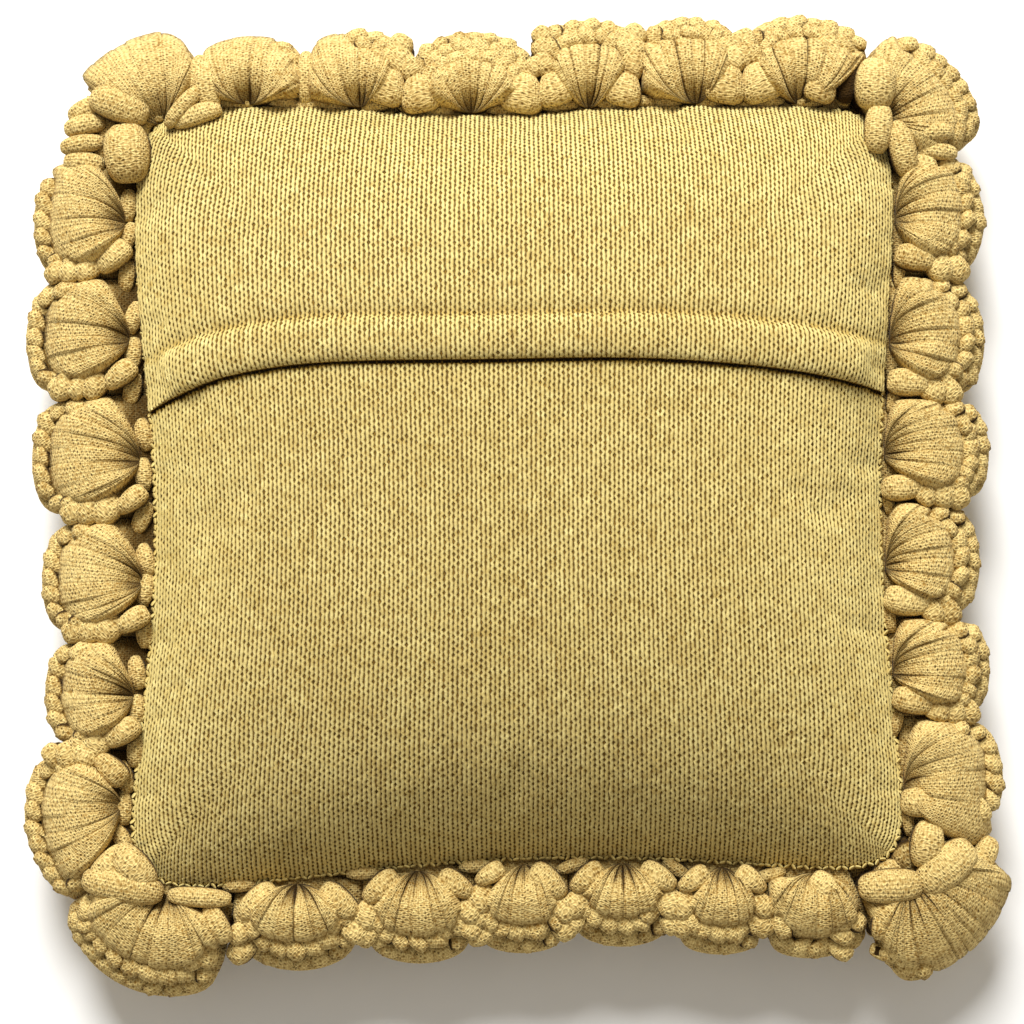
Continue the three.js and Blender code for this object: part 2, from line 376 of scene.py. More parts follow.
    def material(self) -> Material:
        """Makes the knit's material.

        Returns:
            A material that reads the piece's stitch map and tone attribute.
        """
        material, tree = empty_material(self.name)
        place = add_node(tree, "ShaderNodeTexCoord").outputs["Object"]
        counts = self.slants(tree, place)
        away = [calculate(tree, "PINGPONG", count, 0.5) for count in counts]
        hole = self.holes(tree, counts, away)
        leg = self.legs(tree, counts, away)
        cloud = noise(tree, place, self.cloud_mm, 3.0).outputs["Fac"]
        tone = add_node(tree, "ShaderNodeAttribute", {"attribute_name": TONE}).outputs["Fac"]
        clouded = calculate(tree, "MULTIPLY_ADD", cloud, self.cloud_share, tone)
        streaked = calculate(tree, "MULTIPLY_ADD", self.streaks(tree), self.streak_share, clouded)
        # Painted light on the legs of the stitches.
        lit = calculate(tree, "MULTIPLY_ADD", leg, self.leg_share, streaked)
        share = calculate(tree, "SUBTRACT", lit, self.dark_share, clamp=True)
        yarn = mix_colours(tree, share, linear(self.deep), linear(self.light))
        # Painted shade in the holes.
        knit = mix_colours(tree, hole, yarn, linear(self.hole))
        self.shade(tree, tone, knit, calculate(tree, "SUBTRACT", leg, hole))
        return material


@dataclass(frozen=True)
class PlainFinish:
    """A matt surface with faint flecks: cloth painted as deep shade, or paper."""

    name: str
    light: str
    deep: str
    fleck_mm: float
    roughness: float = 1.0

    def material(self) -> Material:
        """Makes the plain material.

        Returns:
            A matt material with faint flecks.
        """
        material, tree = empty_material(self.name)
        place = add_node(tree, "ShaderNodeTexCoord").outputs["Object"]
        fleck = noise(tree, place, self.fleck_mm, 2.0).outputs["Fac"]
        colour = mix_colours(tree, fleck, linear(self.deep), linear(self.light))
        inputs = {"Base Color": colour, "Roughness": self.roughness, "Specular IOR Level": 0.0}
        cloth_shader(tree, inputs)
        return material


# The spun cotton of the two back panels and the seam edge, with a crease colour of painted shade.
YARN = YarnFinish("cotton_yarn", light="#f4e6a0", deep="#b19242", crease="#241806")
# The same cotton, knitted plain on the hidden front, with painted light and shade in its stitches.
FRONT_KNIT = KnitFinish("cotton_stockinette", light="#f0dc92", deep="#b39a4a", crease="#57400f")
# The knitted cotton tape of the border, which is thick and loosely worked, with painted light and shade
# in its stitches and between its tapes.
TAPE_KNIT = KnitFinish(
    "cotton_knitted_tape",
    light="#ead089",
    deep="#946f2f",
    hole="#4a340c",
    crease="#38260a",
    hole_reach=0.26,
    closed_share=0.4,
    leg_share=0.85,
    streak_share=0.75,
    sheen=0.04,
)
# Painted shade: the cloth under the stitches is coloured as deep shade, seen through the holes between
# them.
PAINTED_SHADE_CLOTH = PlainFinish("cotton_painted_shade", light="#a07c38", deep="#1c1204", fleck_mm=5.0)
# The plain paper that the cushion lies on.
FLOOR_PAPER = PlainFinish("white_studio_paper", light="#fbfbfa", deep="#f6f6f4", fleck_mm=30.0)


@dataclass(frozen=True)
class SpindleShape:
    """The points of a spindle, by ring along it and angle round it, and its faces.

    faces, rings and turns are kept by the number of a face's corners: the numbers of its
    points, and the ring and the turn of each corner.
    """

    ring: Array
    angle: Array
    faces: dict[int, Array]
    rings: dict[int, Array]
    turns: dict[int, Array]


@dataclass(frozen=True)
class Spindle:
    """A closed spindle with two poles, from which stitches and lengths of tape are shaped."""

    sides: int
    rings: int

    def shape(self) -> SpindleShape:
        """Makes the spindle's faces.

        Returns:
            The shape, with ring 0 and ring rings + 1 at the poles.
        """
        ball = bmesh.new()
        bmesh.ops.create_uvsphere(
            ball, u_segments=self.sides, v_segments=self.rings + 1, radius=1.0
        )
        ball.verts.index_update()
        points = np.array([v.co for v in ball.verts])
        faces = [[v.index for v in f.verts] for f in ball.faces]
        ball.free()
        polar = np.arccos(np.clip(points[:, 2], -1.0, 1.0)) / math.pi
        ring = np.rint(polar * (self.rings + 1)).astype(int)
        turn = np.arctan2(points[:, 1], points[:, 0]) / (2.0 * math.pi) % 1.0
        turn = np.rint(turn * self.sides) % self.sides / self.sides
        pole = (ring == 0) | (ring == self.rings + 1)
        kinds = {kind: [] for kind in FACE_KINDS}
        turns = {kind: [] for kind in FACE_KINDS}
        for face in faces:
            around = np.array([turn[v] for v in face])
            at_pole = np.array([pole[v] for v in face])
            if np.ptp(around[~at_pole]) > 0.5:
                around[around < 0.5] += 1.0
            around[at_pole] = around[~at_pole].mean()
            kinds[len(face)].append(face)
            turns[len(face)].append(around)
        numbers = {kind: np.array(kinds[kind]) for kind in FACE_KINDS}
        rings = {kind: ring[numbers[kind]] for kind in FACE_KINDS}
        turns = {kind: np.array(turns[kind]) for kind in FACE_KINDS}
        return SpindleShape(ring, turn * 2.0 * math.pi, numbers, rings, turns)


def new_piece(
    name: str,
    points: Array,
    faces: list,
    materials: list[Material],
    stitches: Array | None = None,
    tone: Array | None = None,
) -> Piece:
    """Makes a smooth piece of the object and lets it ride on the part's body.

    Args:
        name: the piece's name.
        points: its points in millimetres.
        faces: point numbers of each face.
        materials: its materials.
        stitches: courses and wales counted at each corner of the faces.
        tone: how light the yarn is at each point, around 0.5, painted shade included.

    Returns:
        The new object.
    """
    mesh = bpy.data.meshes.new(name)
    mesh.from_pydata((points * MM).tolist(), [], faces)
    if stitches is not None:
        layer = mesh.uv_layers.new(name=STITCH_MAP)
        layer.data.foreach_set("uv", stitches.astype(np.float32).ravel())
    tones = np.full(len(points), PLAIN_TONE) if tone is None else tone
    mesh.attributes.new(TONE, "FLOAT", "POINT").data.foreach_set("value", tones.astype(np.float32))
    mesh.shade_smooth()
    for material in materials:
        mesh.materials.append(material)
    piece = bpy.data.objects.new(name, mesh)
    bpy.context.scene.collection.objects.link(piece)
    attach(piece, BODY)
    LOG.info("%s: %d triangles", name, sum(len(face) - 2 for face in faces))
    return piece


@dataclass(frozen=True)
class TapeStyle:
    """How a length of tape is shaped and shaded.

    sides counts the points round it, and rings the rounds of them between the ends of a stitch. A
    flatness under 1 gives a boxier tape, pressed by its neighbours. Painted shade darkens it by
    side_shade on its sides and below, from shade_from, a share of its height, downwards.
    """

    sides: int = 8
    rings: int = 5
    flatness: float = 0.85
    side_shade: float = 0.5
    shade_from: float = 0.6


@dataclass
class TapeWork:
    """Lengths of knitted tape that are worked into one piece."""

    wale_mm: float = 3.8
    course_mm: float = 2.5
    girth_share: float = 3.2
    fewest_wales: int = 4
    shade_depth: float = 0.7
    end_ease: float = 0.1
    points: list = field(default_factory=list)
    tones: list = field(default_factory=list)
    faces: dict = field(default_factory=lambda: {kind: [] for kind in FACE_KINDS})
    maps: dict = field(default_factory=lambda: {kind: [] for kind in FACE_KINDS})
    shapes: dict = field(default_factory=dict)
    count: int = 0

    def add(
        self,
        path: Array,
        up: Array,
        half_width: Array,
        half_height: Array,
        tone: float = PLAIN_TONE,
        style: TapeStyle = TapeStyle(),
    ) -> None:
        """Lays a length of tape along a path.

        Args:
            path: points down the middle of the tape, its two ends among them.
            up: the direction of the tape's upper side.
            half_width: half of its width at each point, 0 at the ends.
            half_height: half of its thickness at each point, 0 at the ends.
            tone: how light the yarn is, around 0.5.
            style: how it is shaped and shaded.
        """
        key = (style.sides, len(path) - 2)
        if key not in self.shapes:
            self.shapes[key] = Spindle(*key).shape()
        shape = self.shapes[key]
        tangent = unit(np.gradient(path, axis=0))
        side = unit(np.cross(tangent, up))
        normal = unit(np.cross(side, tangent))
        cos, sin = np.cos(shape.angle), np.sin(shape.angle)
        across = np.sign(cos) * np.abs(cos) ** style.flatness
        above = np.sign(sin) * np.abs(sin) ** style.flatness
        k = shape.ring
        placed = (
            path[k]
            + side[k] * (half_width[k] * across)[:, None]
            + normal[k] * (half_height[k] * above)[:, None]
        )
        courses = lengths_along(path) / self.course_mm
        girth = self.girth_share * (half_width.max() + half_height.max())
        wales = max(self.fewest_wales, round(girth / self.wale_mm))
        self.points.append(placed)
        # Painted shade on the tape's sides and underside.
        lift = above * half_height[k] / half_height.max()
        shaded = 1.0 - smoothstep(lift, style.shade_from - self.shade_depth, style.shade_from)
        self.tones.append(tone - style.side_shade * shaded)
        for kind in FACE_KINDS:
            self.faces[kind].append(shape.faces[kind] + self.count)
            stitches = np.stack([courses[shape.rings[kind]], shape.turns[kind] * wales], axis=-1)
            self.maps[kind].append(stitches.reshape(-1, 2))
        self.count += len(placed)

    def loft(self, rows: Array, tones: Array, maps: Array) -> None:
        """Adds a closed skin over rings of points.

        Args:
            rows: points by ring and by place round it.
            tones: how light the yarn is at each point, painted shade included.
            maps: courses and wales at the four corners of each face, by ring and place.
        """
        rings, around = rows.shape[:2]
        numbers = np.arange(rings * around).reshape(rings, around) + self.count
        following = np.roll(numbers, -1, axis=1)
        quads = np.stack([numbers[:-1], following[:-1], following[1:], numbers[1:]], axis=-1)
        ends = self.count + rings * around + np.arange(2)
        first = np.stack([following[0], numbers[0], np.full(around, ends[0])], axis=-1)
        last = np.stack([numbers[-1], following[-1], np.full(around, ends[1])], axis=-1)
        self.points.append(np.concatenate([rows.reshape(-1, 3), rows[[0, -1]].mean(axis=1)]))
        self.tones.append(np.concatenate([tones.ravel(), tones[[0, -1]].mean(axis=1)]))
        self.faces[4].append(quads.reshape(-1, 4))
        self.maps[4].append(maps.reshape(-1, 2))
        self.faces[3].extend((first, last))
        self.maps[3].append(np.zeros((6 * around, 2)))
        self.count += rings * around + 2

    def lump(
        self,
        centre: Array,
        along: Array,
        up: Array,
        half: Array | Triple,
        arch: float = 0.0,
        tone: float = PLAIN_TONE,
        style: TapeStyle = TapeStyle(),
        taper: float = 0.0,
    ) -> None:
        """Adds one chain stitch or post: a short, full length of tape.

        Args:
            centre: its middle.
            along: the direction in which it runs.
            up: its upper side.
            half: half of its length, width and thickness.
            arch: how far its two ends bend down.
            tone: how light the yarn is, around 0.5.
            style: how it is shaped and shaded.
            taper: how much narrower its far end is, as a share.
        """
        t = -np.cos(np.linspace(0.0, math.pi, style.rings + 2))
        swell = np.sqrt(np.maximum(0.0, 1.0 - t**2)) ** (style.flatness - self.end_ease)
        path = centre + np.outer(t * half[0], along) - np.outer(arch * t**2, up)
        width = swell * half[1] * (1.0 - taper * t)
        self.add(path, up, width, swell * half[2], tone, style)

    def piece(self, name: str, material: Material) -> Piece:
        """Joins the lengths into one object.

        Args:
            name: the piece's name.
            material: the tape's material.

        Returns:
            The new object.
        """
        faces = [face for kind in FACE_KINDS for face in np.concatenate(self.faces[kind]).tolist()]
        stitches = np.concatenate([part for kind in FACE_KINDS for part in self.maps[kind]])
        points, tones = np.concatenate(self.points), np.concatenate(self.tones)
        return new_piece(name, points, faces, [material], stitches, tones)


def grid_faces(numbers: Array) -> Array:
    """The four-cornered faces between the points of a grid, row by row."""
    corners = [numbers[:-1, :-1], numbers[:-1, 1:], numbers[1:, 1:], numbers[1:, :-1]]
    return np.stack(corners, axis=-1).reshape(-1, 4)


@dataclass(frozen=True)
class DrawnIn:
    """How far a side of the cover is drawn in, where most, and over what share of the side."""

    depth: float
    at: float
    span: float

    def pull(self, t: Array) -> Array:
        """The depth at a place along the side, from -1 to 1."""
        return self.depth * np.maximum(0.0, 1.0 - ((t - self.at) / self.span) ** 2) ** 2


@dataclass(frozen=True)
class CoverForm:
    """The sewn outline of the cover and its fullness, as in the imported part."""

    half_side: float = 212.0
    top_left: Pair = (-213.0, 212.0)
    top_right: Pair = (210.0, 213.0)
    bottom_right: Pair = (212.0, -213.0)
    bottom_left: Pair = (-211.0, -222.0)
    corner_power: float = 14.0
    corner_reach_power: float = 4.0
    left: DrawnIn = DrawnIn(13.0, -0.15, 0.85)
    right: DrawnIn = DrawnIn(11.0, -0.12, 0.95)
    top: DrawnIn = DrawnIn(5.0, -0.1, 0.5)
    bottom: DrawnIn = DrawnIn(13.0, 0.08, 1.05)
    seam_z: float = 50.0
    crown: float = 66.0
    belly: float = 62.0
    fullness_power: float = 3.0
    edge_power: float = 0.75

    def plan(self, a: Array, b: Array) -> Array:
        """Where a point of the cover lies in plan.

        Args:
            a: across the cover, from -1 to 1 between the seams.
            b: up the cover, from -1 to 1 between the seams.

        Returns:
            X and Y of each point.
        """
        a, b = np.broadcast_arrays(np.asarray(a, float), np.asarray(b, float))
        m = np.maximum(np.abs(a), np.abs(b))
        power = self.corner_power
        ring = np.maximum((np.abs(a) ** power + np.abs(b) ** power) ** (1.0 / power), 1e-9)
        pull = 1.0 - (1.0 - m / ring) * m**self.corner_reach_power
        pull = np.where(m > 0.0, pull, 1.0)
        u, v = a * pull, b * pull
        s, t = ((u + 1.0) / 2.0)[..., None], ((v + 1.0) / 2.0)[..., None]
        upper = np.array(self.top_left) * (1.0 - s) + np.array(self.top_right) * s
        lower = np.array(self.bottom_left) * (1.0 - s) + np.array(self.bottom_right) * s
        plan = lower * (1.0 - t) + upper * t
        plan[..., 0] -= u * np.where(u < 0.0, self.left.pull(b), self.right.pull(b))
        plan[..., 1] -= v * np.where(v < 0.0, self.bottom.pull(a), self.top.pull(a))
        return plan

    def fullness(self, a: Array, b: Array) -> Array:
        """How full the cover is at a point: 1 in the middle and 0 at the seam."""
        across, along = (1.0 - np.minimum(1.0, np.abs(t)) ** self.fullness_power for t in (a, b))
        return (across * along) ** self.edge_power

    def back(self, a: Array, b: Array) -> Array:
        """Points of the back."""
        z = self.seam_z + self.crown * self.fullness(a, b)
        return np.concatenate([self.plan(a, b), z[..., None]], axis=-1)

    def front(self, a: Array, b: Array) -> Array:
        """Points of the front, which is flat where it rests."""
        z = np.maximum(0.0, self.seam_z - self.belly * self.fullness(a, b))
        return np.concatenate([self.plan(a, b), z[..., None]], axis=-1)


class PanelSurface:
    """A panel of the swollen cover, read anywhere between the points of its grid."""

    def __init__(self, grid: Array) -> None:
        """Keeps the grid and works out its outward directions.

        Args:
            grid: points by row up the cover and column across it.
        """
        self.grid = grid
        self.steps = len(grid) - 1
        up, across = np.gradient(grid, axis=(0, 1))
        self.normals = unit(np.cross(across, up))

    def at(self, a: Array, b: Array) -> tuple[Array, Array]:
        """Reads the panel.

        Args:
            a: across the cover, from -1 to 1 between the seams.
            b: up the cover, from -1 to 1 between the seams.

        Returns:
            The points and their outward directions.
        """
        a, b = np.broadcast_arrays(np.asarray(a, float), np.asarray(b, float))
        column = (np.arcsin(np.clip(a, -1.0, 1.0)) / math.pi + 0.5) * self.steps
        row = (np.arcsin(np.clip(b, -1.0, 1.0)) / math.pi + 0.5) * self.steps
        c = np.clip(np.floor(column).astype(int), 0, self.steps - 1)
        r = np.clip(np.floor(row).astype(int), 0, self.steps - 1)
        s, t = (column - c)[..., None], (row - r)[..., None]

        def mixed(grid: Array) -> Array:
            """Mixes the four nearest values of a grid."""
            low, high = (grid[k, c] * (1.0 - s) + grid[k, c + 1] * s for k in (r, r + 1))
            return low * (1.0 - t) + high * t

        return mixed(self.grid), unit(mixed(self.normals))


@dataclass
class FilledCover:
    """The front panel and the back of the cover, sewn together round the filling."""

    form: CoverForm
    steps: int = 72
    pressure: float = 4.0
    slack: float = 0.003
    frames: int = 20
    most_swell: float = 5.0
    start_share: float = 0.985
    wale_mm: float = 4.8
    course_mm: float = 3.25

    def lines(self) -> Array:
        """Grid lines of a panel, closer together towards the seams."""
        return np.sin((np.arange(self.steps + 1) / self.steps - 0.5) * math.pi)

    def build(self) -> tuple[Piece, PanelSurface]:
        """Makes the cover and lets its filling swell it.

        Returns:
            The cover and the surface of its back.
        """
        a, b = np.meshgrid(self.lines(), self.lines())
        back, front = self.form.back(a, b), self.form.front(a, b)
        size = self.steps + 1
        on_seam = np.zeros((size, size), bool)
        on_seam[[0, -1], :] = True
        on_seam[:, [0, -1]] = True
        back_number = np.arange(size * size).reshape(size, size)
        front_number = back_number.copy()
        front_number[~on_seam] = size * size + np.arange((~on_seam).sum())
        points = np.concatenate([back.reshape(-1, 3), front[~on_seam]])
        girth = lengths(np.diff(front, axis=1)).sum(axis=1).max()
        height = lengths(np.diff(front, axis=0)).sum(axis=0).max()
        grid = grid_faces(back_number)
        under = grid_faces(front_number)[:, ::-1]
        corners = np.concatenate([grid, grid[:, ::-1]]).ravel()
        courses, wales = b * height / 2 / self.course_mm, a * girth / 2 / self.wale_mm
        # The back is painted shade under the stitches; the front is knit.
        piece = new_piece(
            "cover_body",
            points,
            np.concatenate([grid, under]).tolist(),
            [PAINTED_SHADE_CLOTH.material(), FRONT_KNIT.material()],
            np.stack([courses.ravel()[corners], wales.ravel()[corners]], axis=1),
        )
        piece.data.polygons.foreach_set("material_index", np.repeat([0, 1], len(grid)))
        points = self.swell(piece, points, on_seam)
        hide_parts("filled_cover")
        return piece, PanelSurface(points[: size * size].reshape(size, size, 3))

    def swell(self, piece: Piece, points: Array, on_seam: Array) -> Array:
        """Lets the filling press on the cloth between its seams.

        Args:
            piece: the cover, which is changed.
            points: its points in millimetres.
            on_seam: which points of the grid are sewn.

        Returns:
            The swollen points in millimetres.
        """
        sewn = piece.vertex_groups.new(name="sewn")
        sewn.add(np.flatnonzero(on_seam.ravel()).tolist(), 1.0, "REPLACE")
        middle = np.array([0.0, 0.0, self.form.seam_z])
        inset = np.full((len(points), 1), self.start_share)
        inset[: on_seam.size][on_seam.ravel()] = 1.0
        shares = np.concatenate([np.ones((len(points), 2)), inset], axis=1)
        start = middle + (points - middle) * shares
        piece.data.vertices.foreach_set("co", (start * MM).ravel())
        piece.data.update()
        cloth = piece.modifiers.new("filling", "CLOTH")
        cloth.settings.quality = 6
        cloth.settings.mass = 0.3
        cloth.settings.tension_stiffness = 15.0
        cloth.settings.compression_stiffness = 15.0
        cloth.settings.shear_stiffness = 5.0
        cloth.settings.bending_stiffness = 0.5
        cloth.settings.vertex_group_mass = sewn.name
        cloth.settings.use_pressure = True
        cloth.settings.uniform_pressure_force = self.pressure
        cloth.settings.shrink_min = -self.slack
        cloth.settings.effector_weights.gravity = 0.0
        cloth.collision_settings.use_collision = False
        cloth.point_cache.frame_start = 1
        cloth.point_cache.frame_end = self.frames
        for number in range(1, self.frames + 1):
            bpy.context.scene.frame_set(number)
        pressed = piece.evaluated_get(bpy.context.evaluated_depsgraph_get())
        moved = np.zeros(len(points) * 3, np.float32)
        pressed.data.vertices.foreach_get("co", moved)
        piece.modifiers.remove(cloth)
        bpy.context.scene.frame_set(1)
        move = moved.reshape(-1, 3) / MM - points
        length = np.linalg.norm(move, axis=1, keepdims=True)
        LOG.info("filling moved the cloth by %.1f mm, %.1f at most", length.mean(), length.max())
        swollen = points + move * np.minimum(1.0, self.most_swell / np.maximum(length, 1e-9))
        swollen[:, 2] = np.maximum(swollen[:, 2], 0.0)
        piece.data.vertices.foreach_set("co", (swollen * MM).ravel())
        piece.data.update()
        piece.vertex_groups.clear()
        return swollen


@dataclass
class Thread:
    """One running thread of a panel: rings of four points, by wale, course and height."""

    wale: Array
    course: Array
    height: Array
    tone: Array

    @staticmethod
    def faces(rings: int, first: int) -> list[list[int]]:
        """Joins the rings of a thread.

        Args:
            rings: how many rings it has.
            first: the number of its first point.

        Returns:
            Point numbers of each face, its two ends among them.
        """
        numbers = np.arange(rings * 4).reshape(rings, 4) + first
        following = np.roll(numbers, -1, axis=1)
        sides = np.stack([numbers[:-1], numbers[1:], following[1:], following[:-1]], axis=-1)
        return [*sides.reshape(-1, 4).tolist(), numbers[0].tolist(), numbers[-1, ::-1].tolist()]


@dataclass
class StitchField:
    """Rows of stockinette stitches, each with two slanting legs, seen with their tips up.

    Widths are shares of a wale and heights are in millimetres.
    """

    surface: PanelSurface
    wale_mm: float = 4.8
    course_mm: float = 3.25
    leg_apart: float = 0.25
    leg_half_width: float = 0.212
    leg_half_height: float = 0.8
    zigzag: float = 0.065
    lift: float = 0.35
    roll: float = 0.12
    slope_share: float = 0.5
    unevenness: float = 0.032
    fullness_spread: float = 0.09
    end_fullness: float = 0.02
    tone: float = 0.5
    tone_spread: float = 0.075
    tone_by_place: float = 0.3
    fewest_legs: int = 4
    line_points: int = 1601
    seed: int = 11

    def __post_init__(self) -> None:
        """Measures the panel across and up its middle."""
        self.line = np.sin(np.linspace(-0.5, 0.5, self.line_points) * math.pi)
        across = self.surface.at(self.line, np.zeros_like(self.line))[0]
        up = self.surface.at(np.zeros_like(self.line), self.line)[0]
        self.girth = lengths_along(across * np.array([1.0, 1.0, self.slope_share]))
        self.height = lengths_along(up)
        self.wales = round(self.girth[-1] / self.wale_mm)
        self.courses = round(self.height[-1] / self.course_mm)

    def across(self, wale: Array) -> Array:
        """Where a wale lies across the cover, from -1 to 1."""
        return np.interp(wale / self.wales * self.girth[-1], self.girth, self.line)

    def up(self, course: Array) -> Array:
        """Where a course lies up the cover, from -1 to 1."""
        return np.interp(course / self.courses * self.height[-1], self.height, self.line)

    def length_up(self, b: Array) -> Array:
        """The length of the panel's middle from the lower seam to a place up the cover."""
        return np.interp(b, self.line, self.height)

    def threads(self, wale: Array, first: Array, last: Array) -> list[Thread]:
        """Shapes the legs of each wale's stitches, which run up as two zigzag threads.

        Args:
            wale: the middle of each wale, counted across.
            first: the course at which it starts.
            last: the course at which it ends.

        Returns:
            Two threads for each wale.
        """
        rng = np.random.default_rng(self.seed)
        turn = np.arange(4) / 4.0 * 2.0 * math.pi
        threads = []
        for middle, low, high in zip(wale, first, last):
            count = round((high - low) * 2.0)
            if count < self.fewest_legs:
                continue
            side = np.where(np.arange(count + 1) % 2 == 0, -1.0, 1.0)
            stitch = np.repeat(rng.normal(0.0, self.tone_spread, count // 2 + 1), 2)[: count + 1]
            for hand in (-1.0, 1.0):
                shake = rng.normal(0.0, self.unevenness, (2, count + 1))
                full = 1.0 + rng.normal(0.0, self.fullness_spread, count + 1)
                full[[0, -1]] = self.end_fullness
                w = middle + hand * (self.leg_apart + self.zigzag * side) + shake[0]
                c = low + np.arange(count + 1) / 2.0 + shake[1]
                h = self.lift + self.roll * side
                tone = self.tone + stitch + self.tone_by_place * shake[0]
                threads.append(
                    Thread(
                        w[:, None] + np.outer(full, np.cos(turn)) * self.leg_half_width,
                        np.repeat(c[:, None], 4, axis=1),
                        h[:, None] + np.outer(full, np.sin(turn)) * self.leg_half_height,
                        np.repeat(tone[:, None], 4, axis=1),
                    )
                )
        return threads


def knit_strips(
    name: str, strips: int, points: list[Array], tones: list[Array], yarn: Material
) -> list[Piece]:
    """Joins the threads of a panel into a few strips.

    Args:
        name: the name of the strips, to which their numbers are added.
        strips: how many strips there are.
        points: the placed points of each thread, by ring.
        tones: the yarn's tone at each point.
        yarn: the yarn's material.

    Returns:
        The strips from left to right.
    """
    pieces = []
    for number, part in enumerate(np.array_split(np.arange(len(points)), strips)):
        faces, first = [], 0
        for i in part:
            faces.extend(Thread.faces(len(points[i]), first))
            first += len(points[i]) * 4
        placed = np.concatenate([points[i].reshape(-1, 3) for i in part])
        tone = np.concatenate([tones[i].ravel() for i in part])
        piece = new_piece(f"{name}_{number + 1}", placed, faces, [yarn], tone=tone)
        pieces.append(piece)
    return pieces


@dataclass
class EnvelopeBack:
    """The lower back panel's stitches and the flap that lies over it, with its turned hem.

    hem gives the flap's section from its fold upwards: the distance from the fold, and the
    height above the cover.
    """

    form: CoverForm
    surface: PanelSurface
    knit: StitchField
    flap_edge: float = 60.0
    left_drop: float = 17.0
    left_power: float = 4.2
    right_drop: float = 10.0
    right_power: float = 2.0
    tuck: float = 16.0
    limit: float = 0.996
    seam_thickness: float = 1.7
    seam_fade: float = 0.12
    flap_gap: float = 0.85
    # The stitches just below the hem's fold are darkened by a painted shadow.
    slit: Pair = (0.7, 2.1)
    slit_painted_shadow: float = 1.3
    # The stitches along the hem's top crease are darkened by painted shade.
    crease_at: float = 25.5
    crease_width: float = 2.6
    hem_crease_painted_shade: float = 0.24
    ground_depth: float = 0.7
    hem_rows: Pair = (48.0, 1.2)
    flap_rows: int = 44
    flap_columns: int = 101
    panel_parts: int = 3
    flap_parts: int = 2
    course_steps: int = 600
    course_blur: int = 9
    flat_size: Pair = (0.470, 0.215)
    hem: tuple = (
        (1.8, 1.4), (0.2, 2.0), (0.2, 3.2), (1.4, 4.8), (3.6, 6.0),
        (8.0, 6.9), (14.0, 6.9), (19.5, 6.2), (22.5, 4.6), (24.5, 2.4),
        (26.0, 1.7), (28.5, 2.4), (33.0, 3.3), (40.0, 3.3),
    )

    def __post_init__(self) -> None:
        """Measures the flap's cloth from the fold of its hem to the seam, at close steps."""
        self.flap_length = self.knit.height[-1] - self.knit.length_up(self.fold(np.zeros(1)))[0]
        knots = np.array([*self.hem, (self.flap_length, self.hem[-1][1])])
        steps = lengths_along(knots)
        self.course = np.linspace(0.0, steps[-1], self.course_steps)
        self.course_away = np.interp(self.course, steps, knots[:, 0])
        self.course_high = np.interp(self.course, steps, knots[:, 1])
        soft = np.hanning(self.course_blur) / np.hanning(self.course_blur).sum()
        inner = slice(self.course_blur // 2, -(self.course_blur // 2))
        for values in (self.course_away, self.course_high):
            values[inner] = np.convolve(values, soft, "valid")

    def fold(self, a: Array) -> Array:
        """How far up the cover the hem folds.

        Args:
            a: places across the cover, from -1 to 1.

        Returns:
            Places up the cover, from -1 to 1.
        """
        left = self.left_drop * np.abs(a) ** self.left_power
        right = self.right_drop * np.abs(a) ** self.right_power
        return (self.flap_edge - np.where(a < 0.0, left, right)) / self.form.half_side

    def build_lower(self, yarn: Material) -> None:
        """Knits the lower back panel, which runs on under the flap, with a painted shadow just below the
        hem's fold.

        Args:
            yarn: the yarn's material.
        """
        knit = self.knit
        wale = np.arange(knit.wales) + 0.5
        limit = self.fold(knit.across(wale)) + self.tuck / self.form.half_side
        last = knit.length_up(limit) / knit.height[-1] * knit.courses
        points, tones = [], []
        for thread in knit.threads(wale, np.zeros_like(wale), last):
            a, b = knit.across(thread.wale), knit.up(thread.course)
            placed, normals = self.surface.at(a, b)
            points.append(placed + normals * thread.height[..., None])
            # Painted shadow under the hem's fold.
            below = (self.fold(a) - b) * self.form.half_side
            tones.append(thread.tone - self.slit_painted_shadow * (1.0 - smoothstep(below, *self.slit)))
        knit_strips("back_stitches", self.panel_parts, points, tones, yarn)

    def flap_section(self, along: Array) -> tuple[Array, Array]:
        """The distance from the fold and the height over the cover, at lengths along the cloth."""
        away = np.interp(along, self.course, self.course_away)
        return away, np.interp(along, self.course, self.course_high)

    def flap_points(self, a: Array, away: Array, high: Array, above: Array | float = 0.0) -> Array:
        """Places points of the flap.

        Args:
            a: across the cover, from -1 to 1.
            away: distance from the fold, up the cloth, at the middle of the cover.
            high: height of the flap's cloth above the cover, less at the seams.
            above: height above the cloth.

        Returns:
            The points in millimetres.
        """
        knit = self.knit
        start = knit.length_up(self.fold(a))
        up = start + (knit.height[-1] - start) * away / self.flap_length
        b = np.minimum(np.interp(up, knit.height, knit.line), self.limit)
        a = np.clip(a, -self.limit, self.limit)
        share = smoothstep(self.limit - np.maximum(np.abs(a), b), 0.0, self.seam_fade)
        lift = np.minimum(high, self.seam_thickness) * (1.0 - share) + high * share + above
        points, normals = self.surface.at(a, b)
        return points + normals * lift[..., None]

    @staticmethod
    def slab_faces(rows: int, columns: int) -> list[list[int]]:
        """Joins two grids of points to a closed slab.

        Args:
            rows: rows of points in each grid.
            columns: columns of points in each grid.

        Returns:
            Point numbers of each face: the upper grid's, the lower grid's and the four edges'.
        """
        upper = np.arange(rows * columns).reshape(rows, columns)
        lower = upper + rows * columns
        faces = [grid_faces(upper), grid_faces(lower)[:, ::-1]]
        edges = (
            (upper[::-1, 0], lower[::-1, 0]),
            (upper[:, -1], lower[:, -1]),
            (upper[0], lower[0]),
            (upper[-1, ::-1], lower[-1, ::-1]),
        )
        for over, under in edges:
            faces.append(np.stack([over[1:], over[:-1], under[:-1], under[1:]], axis=-1))
        return np.concatenate(faces).tolist()

